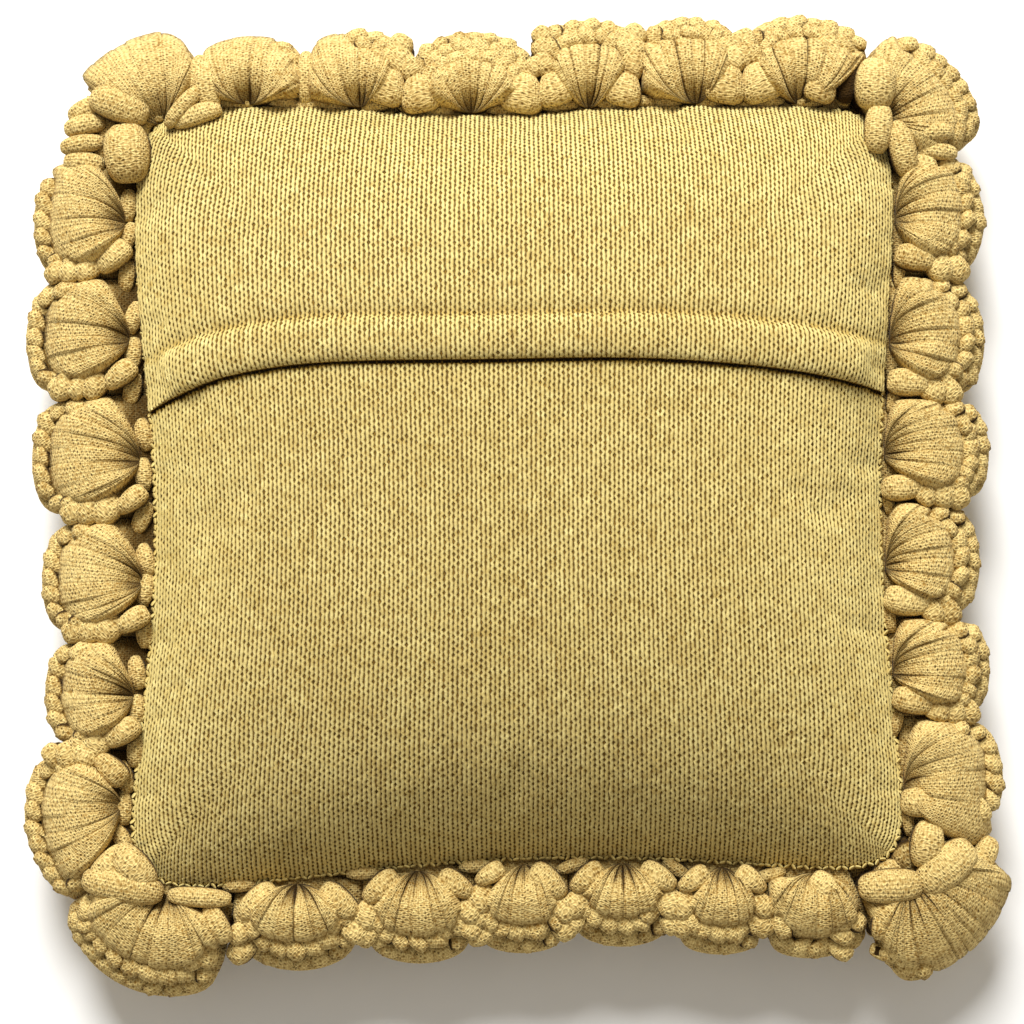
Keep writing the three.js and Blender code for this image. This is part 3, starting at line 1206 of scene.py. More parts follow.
    def build_flap(self, yarn: Material) -> None:
        """Makes the flap's cloth and knits its stitches.

        Args:
            yarn: the yarn's material.
        """
        hem, step = self.hem_rows
        flat = np.linspace(hem, self.course[-1], self.flap_rows)
        columns = np.sin(np.linspace(-0.5, 0.5, self.flap_columns) * math.pi) * self.limit
        a, along = np.meshgrid(columns, np.concatenate([np.arange(0.0, hem, step), flat]))
        away, high = self.flap_section(along)
        over = self.flap_points(a, away, high - self.ground_depth)
        under = self.flap_points(a, away, np.full_like(high, self.flap_gap))
        points = np.concatenate([over.reshape(-1, 3), under.reshape(-1, 3)])
        # The flap's cloth is painted shade, seen between its stitches.
        cloth = new_piece("flap_cloth", points, self.slab_faces(*a.shape), [PAINTED_SHADE_CLOTH.material()])
        stitches = self.knit_flap(yarn)
        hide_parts("back_flap")

    def knit_flap(self, yarn: Material) -> list[Piece]:
        """Knits the flap's stitches over its cloth, with painted shade along the hem's top crease.

        Args:
            yarn: the yarn's material.

        Returns:
            Strips of the flap from left to right.
        """
        count = round(self.course[-1] / self.knit.course_mm)
        wale = np.arange(self.knit.wales) + 0.5
        points, tones = [], []
        for thread in self.knit.threads(wale, np.zeros_like(wale), np.full_like(wale, count)):
            along = np.clip(thread.course, 0.0, count) / count * self.course[-1]
            away, high = self.flap_section(along)
            a = self.knit.across(thread.wale)
            points.append(self.flap_points(a, away, high - self.ground_depth, thread.height))
            # Painted shade along the hem's top crease.
            in_crease = np.exp(-(((away - self.crease_at) / self.crease_width) ** 2))
            tones.append(thread.tone - self.hem_crease_painted_shade * in_crease)
        return knit_strips("flap_stitches", self.flap_parts, points, tones, yarn)


class Side(Enum):
    """A side of the cover, by the direction that it faces in degrees."""

    TOP = 90.0
    RIGHT = 0.0
    BOTTOM = -90.0
    LEFT = 180.0

    def place(self, share: float) -> Pair:
        """Where a point of this side lies on the cover.

        Args:
            share: how far it is along the side, from -1 to 1.

        Returns:
            Its places across and up the cover, from -1 to 1.
        """
        share = min(1.0, max(-1.0, share))
        places = {
            Side.TOP: (share, 1.0),
            Side.RIGHT: (1.0, share),
            Side.BOTTOM: (share, -1.0),
            Side.LEFT: (-1.0, share),
        }
        return places[self]


# The gap, from the seam to a pinch, past which the first row of stitches shows.
IN_VIEW = 6.0


@dataclass(frozen=True)
class ShellRow:
    """One shell: its place on the border, its size and how it was worked.

    along is measured from the middle of the side. lean turns the fan, in degrees. gap is
    from the seam to the pinch of the strands. before and after are the sizes of the fat
    tapes beside the pinch, as shares, on the two sides counted clockwise. share is how much
    of the reach the strands take where the chain covers the rim, and the chain covers the
    rim from chain_from to chain_to, counted from -1 to 1 clockwise. corners is high where the
    rim meets the sides sharply, and skew is how much further the fan reaches clockwise.
    """

    name: str
    side: Side
    along: float
    lean: float
    width: float
    reach: float
    strands: int
    gap: float
    before: float
    after: float
    share: float
    chain_from: float
    chain_to: float
    chain_rows: int
    corners: float = 8.0
    skew: float = 0.0

    @property
    def stands_off(self) -> bool:
        """Whether the pinch leaves the first row of stitches in view."""
        return self.gap > IN_VIEW

    @property
    def leaning(self) -> bool:
        """Whether the fan is turned, as it is at a corner."""
        return self.lean != 0


SHELL_ROWS = (
    ShellRow("corner_top_left", Side.TOP, -207, 30, 90, 57, 12, 0, 0, 0, 0.95, 2, 3, 0, 4),
    ShellRow("top_1", Side.TOP, -150, 0, 63, 47, 9, 2, 0, 0, 0.85, 0.3, 1, 1),
    ShellRow("top_2", Side.TOP, -90, 0, 55, 51, 8, 2, 0, 0.8, 0.74, -0.1, 1, 2),
    ShellRow("top_3", Side.TOP, -24, 0, 75, 53, 8, 2, 0.9, 0.9, 0.6, -1, 1, 3),
    ShellRow("top_4", Side.TOP, 42, 0, 55, 57, 8, 2, 0.6, 0.6, 0.68, -1, 1, 2),
    ShellRow("top_5", Side.TOP, 100, 0, 58, 56, 8, 2, 0, 0.8, 0.74, -0.7, 1, 2),
    ShellRow("top_6", Side.TOP, 163, 0, 70, 57, 9, 2, 0.9, 0.5, 0.72, -1, 0.8, 2),
    ShellRow("corner_top_right", Side.TOP, 212, -58, 86, 62, 12, 8, 0, 0, 0.76, -0.8, 1, 2, 4, 0.1),
    ShellRow("right_1", Side.RIGHT, 152, 0, 68, 55, 8, 2, 0, 1.0, 0.74, -1, 1, 2),
    ShellRow("right_2", Side.RIGHT, 82, 0, 67, 58, 8, 2, 0, 0.95, 0.72, -1, 1, 2),
    ShellRow("right_3", Side.RIGHT, 19, 0, 56, 63, 8, 2, 0, 0.85, 0.74, -1, 1, 2),
    ShellRow("right_4", Side.RIGHT, -42, 0, 63, 57, 9, 2, 0, 1.1, 0.7, -1, 1, 2),
    ShellRow("right_5", Side.RIGHT, -101, 0, 53, 58, 8, 2, 0, 0.9, 0.74, -1, 1, 2),
    ShellRow("right_6", Side.RIGHT, -162, 0, 66, 59, 6, 2, 0, 1.1, 0.8, -1, 0.4, 1),
    ShellRow("corner_bottom_right", Side.BOTTOM, 212, 43, 66, 71, 14, 18, 0, 0, 0.86, 0.45, 1, 1, 6),
    ShellRow("bottom_1", Side.BOTTOM, 160, 0, 52, 50, 8, 3, 0.8, 0, 0.74, -1, 1, 1),
    ShellRow("bottom_2", Side.BOTTOM, 111, 0, 50, 51, 8, 3, 0.6, 0.6, 0.68, -1, 1, 2),
    ShellRow("bottom_3", Side.BOTTOM, 57, 0, 58, 49, 8, 3, 0.8, 0.8, 0.66, -1, 1, 2),
    ShellRow("bottom_4", Side.BOTTOM, 2, 0, 50, 52, 7, 3, 0.9, 0.5, 0.7, -1, 1, 2),
    ShellRow("bottom_5", Side.BOTTOM, -54, 0, 60, 54, 8, 3, 0.8, 0.8, 0.72, -1, 1, 2),
    ShellRow("bottom_6", Side.BOTTOM, -120, 0, 68, 51, 8, 3, 1.0, 1.0, 0.68, -1, 1, 2),
    ShellRow("corner_bottom_left", Side.BOTTOM, -192, -16, 72, 62, 11, 6, 0, 0, 0.74, -1, 1, 2),
    ShellRow("left_1", Side.LEFT, -171, 0, 60, 62, 9, 6.5, 0, 0.8, 0.78, -1, 1, 1),
    ShellRow("left_2", Side.LEFT, -107, 0, 59, 58, 9, 6.5, 0.8, 0, 0.78, -1, 1, 1),
    ShellRow("left_3", Side.LEFT, -46, 0, 64, 65, 9, 6.5, 0.7, 0, 0.8, -1, 1, 1),
    ShellRow("left_4", Side.LEFT, 20, 0, 67, 70, 9, 7, 0.7, 0, 0.8, -1, 1, 1),
    ShellRow("left_5", Side.LEFT, 86, 0, 64, 68, 9, 7, 0.7, 0, 0.78, -1, 1, 1),
    ShellRow("left_6", Side.LEFT, 151, 0, 66, 61, 9, 6.5, 0.8, 0, 0.8, -1, 0.6, 1),
    ShellRow("left_7", Side.LEFT, 201, -12, 36, 52, 0, 5, 0, 0, 0.9, 2, 3, 0),
)


@dataclass(frozen=True)
class CornerTape:
    """A fat tape at a corner of the border, where the shells are worked less evenly.

    x and y place its middle, heading turns it in degrees, and top is the height of its upper
    side. length, width and height are halves.
    """

    x: float
    y: float
    heading: float
    length: float
    width: float
    height: float
    top: float


CORNER_TAPES = {
    "corner_top_left": (
        CornerTape(-223, 212, -20, 17, 9.5, 9, 66),
        CornerTape(-186, 211, 50, 15, 5, 6, 67),
        CornerTape(-179, 206, 19, 14, 6, 6, 66),
        CornerTape(-180, 230, 75, 12, 6, 7, 62),
    ),
    "top_1": (
        CornerTape(-174, 223, 100, 14, 7.5, 8, 65),
        CornerTape(-119, 230, 90, 15, 5, 8, 60),
    ),
    "top_6": (
        CornerTape(186, 226, 80, 11, 5.5, 7, 53),
    ),
    "left_7": (
        CornerTape(-218, 185, 95, 16, 13.5, 13, 68),
        CornerTape(-241, 212, 24, 12, 6.5, 7, 58),
        CornerTape(-243, 202, 12, 11, 6, 7, 60),
        CornerTape(-244, 191, 8, 12, 5.5, 7, 60),
        CornerTape(-243, 181, -6, 11, 6, 7, 59),
    ),
    "corner_top_right": (
        CornerTape(201, 224, 85, 14, 12, 11, 69),
        CornerTape(202, 199, 85, 14, 8, 8, 67),
        CornerTape(215, 187, -77, 16, 7.5, 8, 67),
        CornerTape(232, 196, 5, 12, 5.5, 7, 66),
        CornerTape(235, 186, -5, 11, 5, 6, 63),
        CornerTape(247, 198, 75, 10, 5.5, 6, 56),
        CornerTape(229, 178, 110, 8, 6, 6, 62),
        CornerTape(241, 178, 100, 8, 5.5, 6, 58),
    ),
    "corner_bottom_left": (
        CornerTape(-219, -208, 45, 12, 8, 8, 66),
        CornerTape(-206, -209, -48, 14, 9, 9, 69),
        CornerTape(-212, -219, -11, 22, 9, 10, 69),
        CornerTape(-171, -225, -4, 17, 5.5, 7, 65),
        CornerTape(-161, -239, -60, 11, 6, 6, 64),
    ),
    "corner_bottom_right": (
        CornerTape(201, -219, 4, 17, 9.5, 9, 67),
        CornerTape(231, -209, 39, 18, 11, 9, 67),
        CornerTape(221, -197, 80, 12, 9, 9, 66),
        CornerTape(196, -239, 80, 8, 5.5, 6, 62),
        CornerTape(201, -256, -15, 9, 5, 6, 52),
        CornerTape(253, -205, 62, 12, 7, 7, 54),
    ),
}


@dataclass(frozen=True)
class SideWork:
    """How the shells of one side are worked.

    groove is the depth of the grooves between the strands and parted how far they run
    outwards, as shares. The rest is about the fat tapes: the degrees that they turn from
    straight outwards, how far they stand in from the next shell, how much they taper and
    how wide they are, as shares. first_row places the stitches along the seam, as shares of
    the shell's width, where they differ from those of the other sides.
    """

    groove: float
    parted: float
    fat_turn: float
    fat_taper: float
    fat_inset: float = 0.8
    fat_width: float = 1.0
    first_row: tuple = ()


SIDE_WORK = {
    Side.TOP: SideWork(1.0, 0.85, 16.0, 0.3, 0.66, 1.6, (0.03, 0.27, 0.73)),
    Side.RIGHT: SideWork(0.75, 0.3, 6.0, 0.15),
    Side.BOTTOM: SideWork(1.0, 0.6, 58.0, 0.25),
    Side.LEFT: SideWork(0.6, 0.15, 38.0, 0.2),
}


@dataclass
class Fan:
    """One shell's plan, in its own frame: x runs clockwise along the seam and y outwards.

    opening is the widest turn of its sides from straight outwards, in degrees. The round
    part of the outline, its rim, is where it is at least rim_share of its furthest reach
    away, and pinch_shift is how far a fat tape pushes the pinch aside.
    """

    row: ShellRow
    root: Array
    angle: float
    opening: float = 88.0
    outline_points: int = 361
    rim_share: float = 0.78
    pinch_shift: float = 4.0
    lines: list = field(default_factory=list)

    @property
    def axis(self) -> Array:
        """The direction in which the fan points."""
        return np.array([math.cos(self.angle), math.sin(self.angle)])

    @property
    def pinch(self) -> Array:
        """Where the strands are drawn together, away from the larger fat tape."""
        return np.array([self.pinch_shift * (self.row.after - self.row.before), self.row.gap])

    def press_on(self, other: "Fan", side_gap: float) -> None:
        """Adds the line on which this shell presses against a neighbour.

        Args:
            other: the neighbour.
            side_gap: the clear width between the two.
        """
        share = self.row.width / (self.row.width + other.row.width)
        foot = self.root * (1.0 - share) + other.root * share
        outward = unit(self.axis + other.axis)
        normal = np.array([outward[1], -outward[0]])
        if normal @ (foot - self.root) < 0.0:
            normal = -normal
        turn = self.angle - math.atan2(normal[1], normal[0])
        self.lines.append((turn, normal @ (foot - self.root) - side_gap / 2))

    def world(self, plan: Array, z: Array | float) -> Array:
        """Turns points of the fan's own frame to the part's frame.

        Args:
            plan: x and y of each point.
            z: the height of each point.

        Returns:
            The points in millimetres.
        """
        clockwise = np.array([self.axis[1], -self.axis[0]])
        flat = self.root + plan[..., :1] * clockwise + plan[..., 1:2] * self.axis
        return np.concatenate([flat, np.broadcast_to(z, plan.shape[:-1])[..., None]], axis=-1)

    def heading(self, spot: Array, way: Array) -> Array:
        """A direction of the fan's own frame, level, in the part's frame."""
        return unit(self.world(spot + way, 0.0) - self.world(spot, 0.0))

    def outline(self) -> Array:
        """The shell's rim and sides, clockwise.

        Returns:
            Points in the fan's own frame.
        """
        turn = np.radians(np.linspace(-self.opening, self.opening, self.outline_points))
        power = self.row.corners
        total = (self.row.reach * (1.0 + self.row.skew * np.sin(turn))) ** -power
        for line_turn, distance in self.lines:
            total += (np.maximum(0.0, np.cos(turn - line_turn)) / distance) ** power
        reach = total ** (-1.0 / power)
        return reach[:, None] * np.stack([np.sin(turn), np.cos(turn)], axis=1)

    def outline_shares(self) -> Array:
        """How far round the outline each of its points is, from 0 to 1."""
        length = lengths_along(self.outline())
        return length / length[-1]

    def on_rim(self) -> Array:
        """Which points of the outline are on its round part."""
        away = lengths(self.outline())
        return away >= self.rim_share * away.max()

    def rim(self, inset: float) -> tuple[Array, Array, Array]:
        """The round part of the outline.

        Args:
            inset: how far inside the outline the line runs.

        Returns:
            Points, outward directions and the length along them, clockwise.
        """
        line, keep = self.outline(), self.on_rim()
        tangent = unit(np.gradient(line, axis=0))[keep]
        outward = np.stack([-tangent[:, 1], tangent[:, 0]], axis=1)
        points = line[keep] - outward * inset
        return points, outward, lengths_along(points)

    def rim_span(self) -> Pair:
        """Where the rim begins and ends, as shares of the outline's length."""
        shares = self.outline_shares()[self.on_rim()]
        return float(shares[0]), float(shares[-1])

    def base_span(self, widest: float) -> Pair:
        """Where the sides pass a turn of so many degrees, as shares of the outline's length."""
        turn = np.degrees(np.arctan2(*self.outline().T))
        return tuple(np.interp([-widest, widest], turn, self.outline_shares()))


@dataclass(frozen=True)
class BellyForm:
    """The puff of a shell's strands: half of its thickness and how its edges are drawn in.

    Its rings are closer together towards the pinch.
    """

    puff_out: tuple = (0.0, 0.1, 0.25, 0.45, 0.65, 0.85, 1.0)
    puff_half: tuple = (9.0, 12.0, 16.5, 18.5, 17.0, 13.0, 8.0)
    side_shoulder: float = 14.0
    side_floor: float = 0.42
    edge_share: float = 0.12
    edge_floor: float = 0.3
    dimple: float = 0.7
    dimple_reach: float = 8.0
    dimple_power: float = 1.5
    rings: int = 26
    first_ring: float = 0.1
    ring_power: float = 2.2
    sink: float = 1.0
    under_share: float = 0.9
    rim_tuck: float = 0.4
    tuck_from: float = 0.84

    def ring_places(self) -> Array:
        """Places of the rings along the strands, from 0 at the pinch to 1."""
        return np.linspace(self.first_ring, 1.0, self.rings) ** self.ring_power

    def dome(self, fan: Fan, plan: Array, q: Array, t: Array) -> Array:
        """Half of a belly's thickness: a puff, rounded to its neighbours and drawn in at the pinch.

        Args:
            fan: the shell's plan.
            plan: points in the fan's own frame, by place along and across the strands.
            q: the places across the strands, from 0 to 1.
            t: the places along the strands, from 0 at the pinch to 1.

        Returns:
            A height for each point.
        """
        half = np.interp(lengths(plan) / fan.row.reach, self.puff_out, self.puff_half)
        shoulders = [(np.minimum(q, 1.0 - q) / self.edge_share, self.edge_floor)]
        for turn, distance in fan.lines:
            way = np.array([math.sin(turn), math.cos(turn)])
            shoulders.append(((distance - plan @ way) / self.side_shoulder, self.side_floor))
        for share, floor in shoulders:
            rise = np.sqrt(1.0 - (1.0 - np.clip(share, 0.0, 1.0)) ** 2)
            half = half * (floor + (1.0 - floor) * rise)
        away = lengths(plan - fan.pinch)
        half = half * (1.0 - self.dimple * np.exp(-((away / self.dimple_reach) ** self.dimple_power)))
        return half * (1.0 - self.rim_tuck * smoothstep(t, self.tuck_from, 1.0))[:, None]


@dataclass(frozen=True)
class StrandRelief:
    """How the strands stand out from a belly, and how much painted shade darkens the grooves between
    them and the pinch.

    A groove is deepest at the pinch and fades outwards from a place of its own. Heights are
    in millimetres and tones are around 0.5.
    """

    places: tuple = (0.0, 0.07, 0.2, 0.38, 0.62, 0.8, 0.93)
    widths: Pair = (0.65, 1.4)
    depth: float = 1.6
    depth_shares: tuple = (0.35, 0.65, 1.0)
    depth_chances: tuple = (0.35, 0.35, 0.3)
    faint: Pair = (0.15, 0.7)
    faint_share: float = 0.5
    fade_from: Pair = (0.2, 0.5)
    fade_over: Pair = (-0.15, 0.25)
    parted_by: float = 0.5
    plump_powers: Pair = (2.4, 0.6)
    puff_spread: float = 0.45
    wave_half: float = 0.4
    wave_turns: Pair = (3.0, 7.0)
    wave_step: float = 3.0
    thin_by: float = 0.12
    tone: float = 0.5
    tone_spread: float = 0.05
    groove_painted_shade: float = 0.42
    groove_tone_power: float = 1.4
    pinch_painted_shade: float = 0.34
    pinch_reach: float = 7.5
    pinch_gap_share: float = 0.6
    wales_at: float = 0.6
    map_shift: float = 4.0
    map_step: float = 6.0


class StrandRing:
    """Places round a belly: over its upper side from strand to strand, and back below."""

    def __init__(self, edges: Array, places: tuple, under_share: float) -> None:
        """Shares the places out among the strands.

        Args:
            edges: the edges of the strands, from 0 to 1.
            places: places across a strand, from 0 to 1.
            under_share: how full the lower side is beside the upper one.
        """
        self.edges = edges
        self.count = len(edges) - 1
        widths = np.diff(edges)
        top = (edges[:-1, None] + widths[:, None] * np.array(places)).ravel()
        self.q = np.concatenate([top, [1.0], top[:0:-2]])
        number = np.arange(len(self.q))
        self.upper = number < len(top)
        self.sign = np.where(number <= len(top), 1.0, -under_share)
        self.strand = np.clip(np.searchsorted(edges, self.q, side="right") - 1, 0, self.count - 1)
        self.place = (self.q - edges[self.strand]) / widths[self.strand]

    def hollow(self, powers: Pair) -> Array:
        """How far each place is down the round side of its strand, from 0 to 1."""
        return 1.0 - np.maximum(0.0, 1.0 - np.abs(2.0 * self.place - 1.0) ** powers[0]) ** powers[1]

    def spans(self) -> tuple[Array, Array, Array]:
        """Shares each strip between two places out to a strand.

        Returns:
            The strand of each strip and where the strip starts and ends across it.
        """
        below = np.clip(np.searchsorted(self.edges, self.q - 1e-6) - 1, 0, self.count - 1)
        owner = np.where(self.upper, self.strand, below)
        starts = np.where(~self.upper & (self.place == 0.0), 1.0, self.place)
        ends = np.roll(self.place, -1)
        ends = np.where(self.upper & (ends < self.place), 1.0, ends)
        ends = np.where(~self.upper & (ends >= self.place), 0.0, ends)
        return owner, starts, ends


@dataclass(frozen=True)
class ChainWork:
    """The rows of chain stitches on a shell's rim and the band that they are worked over.

    half is half of a stitch's length, width and thickness. slants turn the stitches of one
    row and of the next, in degrees, and out_leans tip them outwards.
    """

    pitch: float = 9.4
    half: Triple = (7.2, 5.3, 4.8)
    size_range: Pair = (0.85, 1.15)
    slants: Pair = (26.0, -30.0)
    slant_spread: float = 9.0
    row_insets: tuple = (7.4, 14.0, 20.6)
    out_leans: tuple = (0.5, 0.3, 0.3)
    place_spread: float = 0.5
    height_spread: float = 0.4
    least_height: float = 2.0
    bed: float = 0.9
    arch: float = 0.9
    margin: float = 0.05
    # Chain stitches get strong painted shade on their sides, where they press together.
    style: TapeStyle = TapeStyle(flatness=0.6, side_shade=0.66, shade_from=0.86)
    tone_spread: float = 0.06
    band_half: Pair = (4.6, 6.6)
    band_points: int = 24
    band_power: float = 8.0
    band_tone: float = 0.46
    band_style: TapeStyle = TapeStyle(sides=10, flatness=0.7, side_shade=0.0)


@dataclass(frozen=True)
class FatTapes:
    """The fat tapes beside a shell's pinch, with the fillers that follow them outwards.

    half and filler_half are halves of the length, width and thickness of a whole tape.
    """

    half: Triple = (12.0, 8.0, 8.0)
    least_share: float = 0.45
    size_range: Pair = (0.94, 1.06)
    turn_range: Pair = (-8.0, 8.0)
    seam_tuck: float = 1.0
    filler_half: Triple = (8.0, 7.0, 6.0)
    filler_range: Pair = (0.85, 1.15)
    filler_turns: Pair = (20.0, 60.0)
    filler_out: tuple = (8.0, 17.0, 26.0)
    filler_inset: float = 0.45
    filler_start: float = 0.5
    notch_share: float = 0.93
    notch_reach: float = 0.5
    top: float = 13.5
    arch: float = 1.5
    style: TapeStyle = TapeStyle(10, 9, 0.7)
    tone_spread: float = 0.06
    corner_arch: float = 2.5
    corner_style: TapeStyle = TapeStyle(12, 11, 0.66)
    corner_tone_spread: float = 0.05


@dataclass(frozen=True)
class FirstRow:
    """The first row of stitches along the seam, which shows where the pinch stands off."""

    half_length: float = 10.0
    half_width: float = 3.2
    width_by_gap: float = 0.36
    half_height: float = 5.0
    close: tuple = (0.97,)
    standing_off: tuple = (0.02, 0.34, 0.66)
    seam_gap: float = 0.6
    out_share: float = 0.85
    sink: float = 0.5
    place_spread: float = 1.5
    turn_spread: float = 0.2
    arch: float = 1.0
    tone: float = 0.45
    tone_spread: float = 0.06


@dataclass(frozen=True)
class CoreForm:
    """The inside of a shell, a flat pad of tape that shows only between its strands, toned as painted
    shade.
    """

    every: int = 12
    spread: Pair = (1.012, 0.9)
    foot: float = -2.0
    rings: int = 7
    fullness: float = 0.5
    least_half: float = 3.0
    swell: float = 8.0
    swell_over: Pair = (2.0, 22.0)
    sink: float = 3.0
    stitch_mm: Pair = (2.7, 2.5)
    tone: float = 0.3
    seam_painted_shade: float = 0.22
    seam_shade_over: Pair = (24.0, 16.0)


@dataclass
class Shell:
    """One shell of knitted tape, worked from the seam outwards with random numbers of its own."""

    fan: Fan
    form: CoverForm
    rng: np.random.Generator
    work: TapeWork = field(default_factory=TapeWork)
    droop: float = 15.0
    section_out: tuple = (0.0, 0.16, 0.42, 0.74, 0.93, 1.0)
    section_half: tuple = (6.0, 10.5, 17.0, 14.5, 9.0, 6.0)
    belly: BellyForm = BellyForm()
    relief: StrandRelief = StrandRelief()
    chain: ChainWork = ChainWork()
    fat: FatTapes = FatTapes()
    first_row: FirstRow = FirstRow()
    inside: CoreForm = CoreForm()
    side_strand: float = 0.75
    rim_overlap: float = 0.9
    base_turn: float = 74.0
    free_base_turn: float = 54.0
    strand_end: float = 0.99
    covered_end: float = 0.94
    rim_from: Pair = (0.6, 0.85)
    cover_margin: float = 0.1
    bend: float = 0.34
    held_bend: float = 0.5
    leaning_bend: float = 0.56
    seam_overlap: float = 1.0
    corner_groove: float = 0.8
    smooth_parted: float = 0.25
    smooth_shells: tuple = ("top_1", "top_2", "corner_top_right")

    def __post_init__(self) -> None:
        """Looks up how the shell is worked."""
        self.row = self.fan.row
        self.side = SIDE_WORK[self.row.side]

    def half_thickness(self, out: float) -> float:
        """Half of a shell's thickness at a share of its reach."""
        return float(np.interp(out, self.section_out, self.section_half))

    def middle(self, out: Array) -> Array:
        """The height of a shell's middle at a share of its reach."""
        return self.form.seam_z - self.droop * np.asarray(out) ** 2

    def build(self, tape: Material) -> None:
        """Works the shell: one piece for its tapes and one for its inside.

        Args:
            tape: the tape's material.
        """
        if self.row.strands:
            self.lay_belly()
        if self.row.chain_rows:
            self.lay_band()
            self.lay_chain()
        self.lay_fat_tapes()
        self.lay_corner_tapes()
        self.lay_first_row()
        piece = self.work.piece(f"shell_work_{self.row.name}", tape)
        core = self.core(tape)
        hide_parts(f"shell_{self.row.name}")

    def covered(self, edge: Array) -> Array:
        """Whether the chain covers the rim.

        Args:
            edge: points of the outline.

        Returns:
            Shares from 0, where the strands run on to the outline, to 1.
        """
        row = self.row
        points, _, length = self.fan.rim(0.0)
        at_rim = np.interp(
            np.arctan2(edge[:, 0], edge[:, 1]),
            np.arctan2(points[:, 0], points[:, 1]),
            length / length[-1] * 2.0 - 1.0,
        )
        step = 2.0 * self.cover_margin
        begun = smoothstep(at_rim - row.chain_from + self.cover_margin, 0.0, step)
        ended = smoothstep(row.chain_to + self.cover_margin - at_rim, 0.0, step)
        to_rim = smoothstep(lengths(edge) / row.reach, *self.rim_from)
        return begun * ended * to_rim

    def strand_plan(self, q: Array, t: Array) -> Array:
        """Where the strands of a belly run in the fan's plan.

        A strand leaves the pinch along the seam, bends outwards and ends inside the rim.

        Args:
            q: places along the outline, from 0 to 1 clockwise.
            t: places along the strands, from 0 at the pinch to 1.

        Returns:
            Points by t and q.
        """
        row = self.row
        low, high = self.belly_span()
        edge = along_line(low + (high - low) * q, self.fan.outline_shares(), self.fan.outline())
        shortened = (self.covered_end - row.share) * self.covered(edge)
        run = edge * (self.strand_end - shortened)[:, None] - self.fan.pinch
        if row.leaning:
            bend = np.full(len(q), self.leaning_bend)
        else:
            held = np.where(run[:, 0] < 0.0, row.before > 0, row.after > 0)
            bend = np.where(held | row.stands_off, self.held_bend, self.bend)
        along = t[:, None]
        plan = self.fan.pinch + np.stack([along**bend * run[:, 0], along * run[:, 1]], axis=-1)
        plan[..., 1] = np.maximum(plan[..., 1], -self.seam_overlap)
        return plan

    def belly_span(self) -> Pair:
        """How much of the outline the strands take: not the sides where a fat tape lies.

        Returns:
            Shares of the outline's length, clockwise.
        """
        row = self.row
        rim = self.fan.rim_span()
        base = self.fan.base_span(
            self.free_base_turn if row.stands_off and not row.leaning else self.base_turn
        )
        low = rim[0] * self.rim_overlap if row.before else base[0]
        high = 1.0 - (1.0 - rim[1]) * self.rim_overlap if row.after else base[1]
        return low, high

    def strand_edges(self) -> Array:
        """Shares the outline out among the strands, the first and last along the shell's sides.

        Returns:
            The edges of the strands, from 0 to 1.
        """
        rim = self.fan.rim_span()
        low, high = self.belly_span()
        first = max(0.0, rim[0] * self.side_strand - low) / (high - low)
        last = min(1.0, (1.0 - (1.0 - rim[1]) * self.side_strand - low) / (high - low))
        widths = self.rng.uniform(*self.relief.widths, self.row.strands)
        inner = first + (last - first) * np.concatenate([[0.0], np.cumsum(widths)]) / widths.sum()
        return np.unique(np.concatenate([[0.0], inner, [1.0]]).round(6))

    def lay_belly(self) -> None:
        """Lays the strands of tape side by side over the puffed front and back of a shell."""
        row, relief = self.row, self.relief
        ring = StrandRing(self.strand_edges(), relief.places, self.belly.under_share)
        t = self.belly.ring_places()
        plan = self.strand_plan(ring.q, t)
        half = self.belly.dome(self.fan, plan, ring.q, t)
        z = self.middle(plan[..., 1] / row.reach) - self.belly.sink + ring.sign * half
        smooth = self.fan.world(plan, z)
        around = np.roll(smooth, -1, axis=1) - np.roll(smooth, 1, axis=1)
        normal = unit(np.cross(around, np.gradient(smooth, axis=0)))
        cut = self.grooves(ring, t)
        hollow = ring.hollow(relief.plump_powers)
        puff = self.rng.normal(0.0, relief.puff_spread, ring.count)[ring.strand]
        turns = self.rng.uniform(*relief.wave_turns, ring.count)[ring.strand]
        wave = relief.wave_half * np.sin(np.outer(t, turns) + relief.wave_step * ring.strand)
        thin = smoothstep(t, 0.0, relief.thin_by)[:, None]
        height = puff * np.sin(math.pi * t)[:, None] + (wave - relief.depth * hollow * cut) * thin
        rows = smooth + normal * height[..., None]
        shade = self.rng.normal(relief.tone, relief.tone_spread, ring.count)[ring.strand]
        # Painted shade in the grooves between the strands and around the pinch.
        reach = relief.pinch_reach + relief.pinch_gap_share * row.gap
        pinched = np.exp(-((lengths(plan - self.fan.pinch) / reach) ** 2))
        dark = relief.groove_painted_shade * cut * hollow**relief.groove_tone_power + relief.pinch_painted_shade * pinched
        self.work.loft(rows, shade - dark, self.strand_maps(ring, rows))

    def grooves(self, ring: StrandRing, t: Array) -> Array:
        """How deep the grooves between the strands are.

        Args:
            ring: the places round the belly.
            t: places along the strands, from 0 at the pinch to 1.

        Returns:
            Shares of the full depth, by ring and place round it."""
        row, side, relief = self.row, self.side, self.relief
        edge = np.where(ring.place < 0.5, ring.strand, ring.strand + 1)
        deep = self.rng.choice(relief.depth_shares, ring.count + 1, p=relief.depth_chances)[edge]
        deep = deep * (side.groove if row.chain_rows else self.corner_groove)
        faint = relief.faint_share * self.rng.uniform(*relief.faint, ring.count + 1)[edge]
        fades = t[:, None] - self.rng.uniform(*relief.fade_from, ring.count + 1)[edge]
        groove = faint + (1.0 - faint) * (1.0 - smoothstep(fades, *relief.fade_over))
        is_smooth = row.name in self.smooth_shells or not row.chain_rows
        parted = self.smooth_parted if is_smooth else side.parted
        return deep * np.maximum(groove, parted * smoothstep(t, 0.0, relief.parted_by)[:, None])

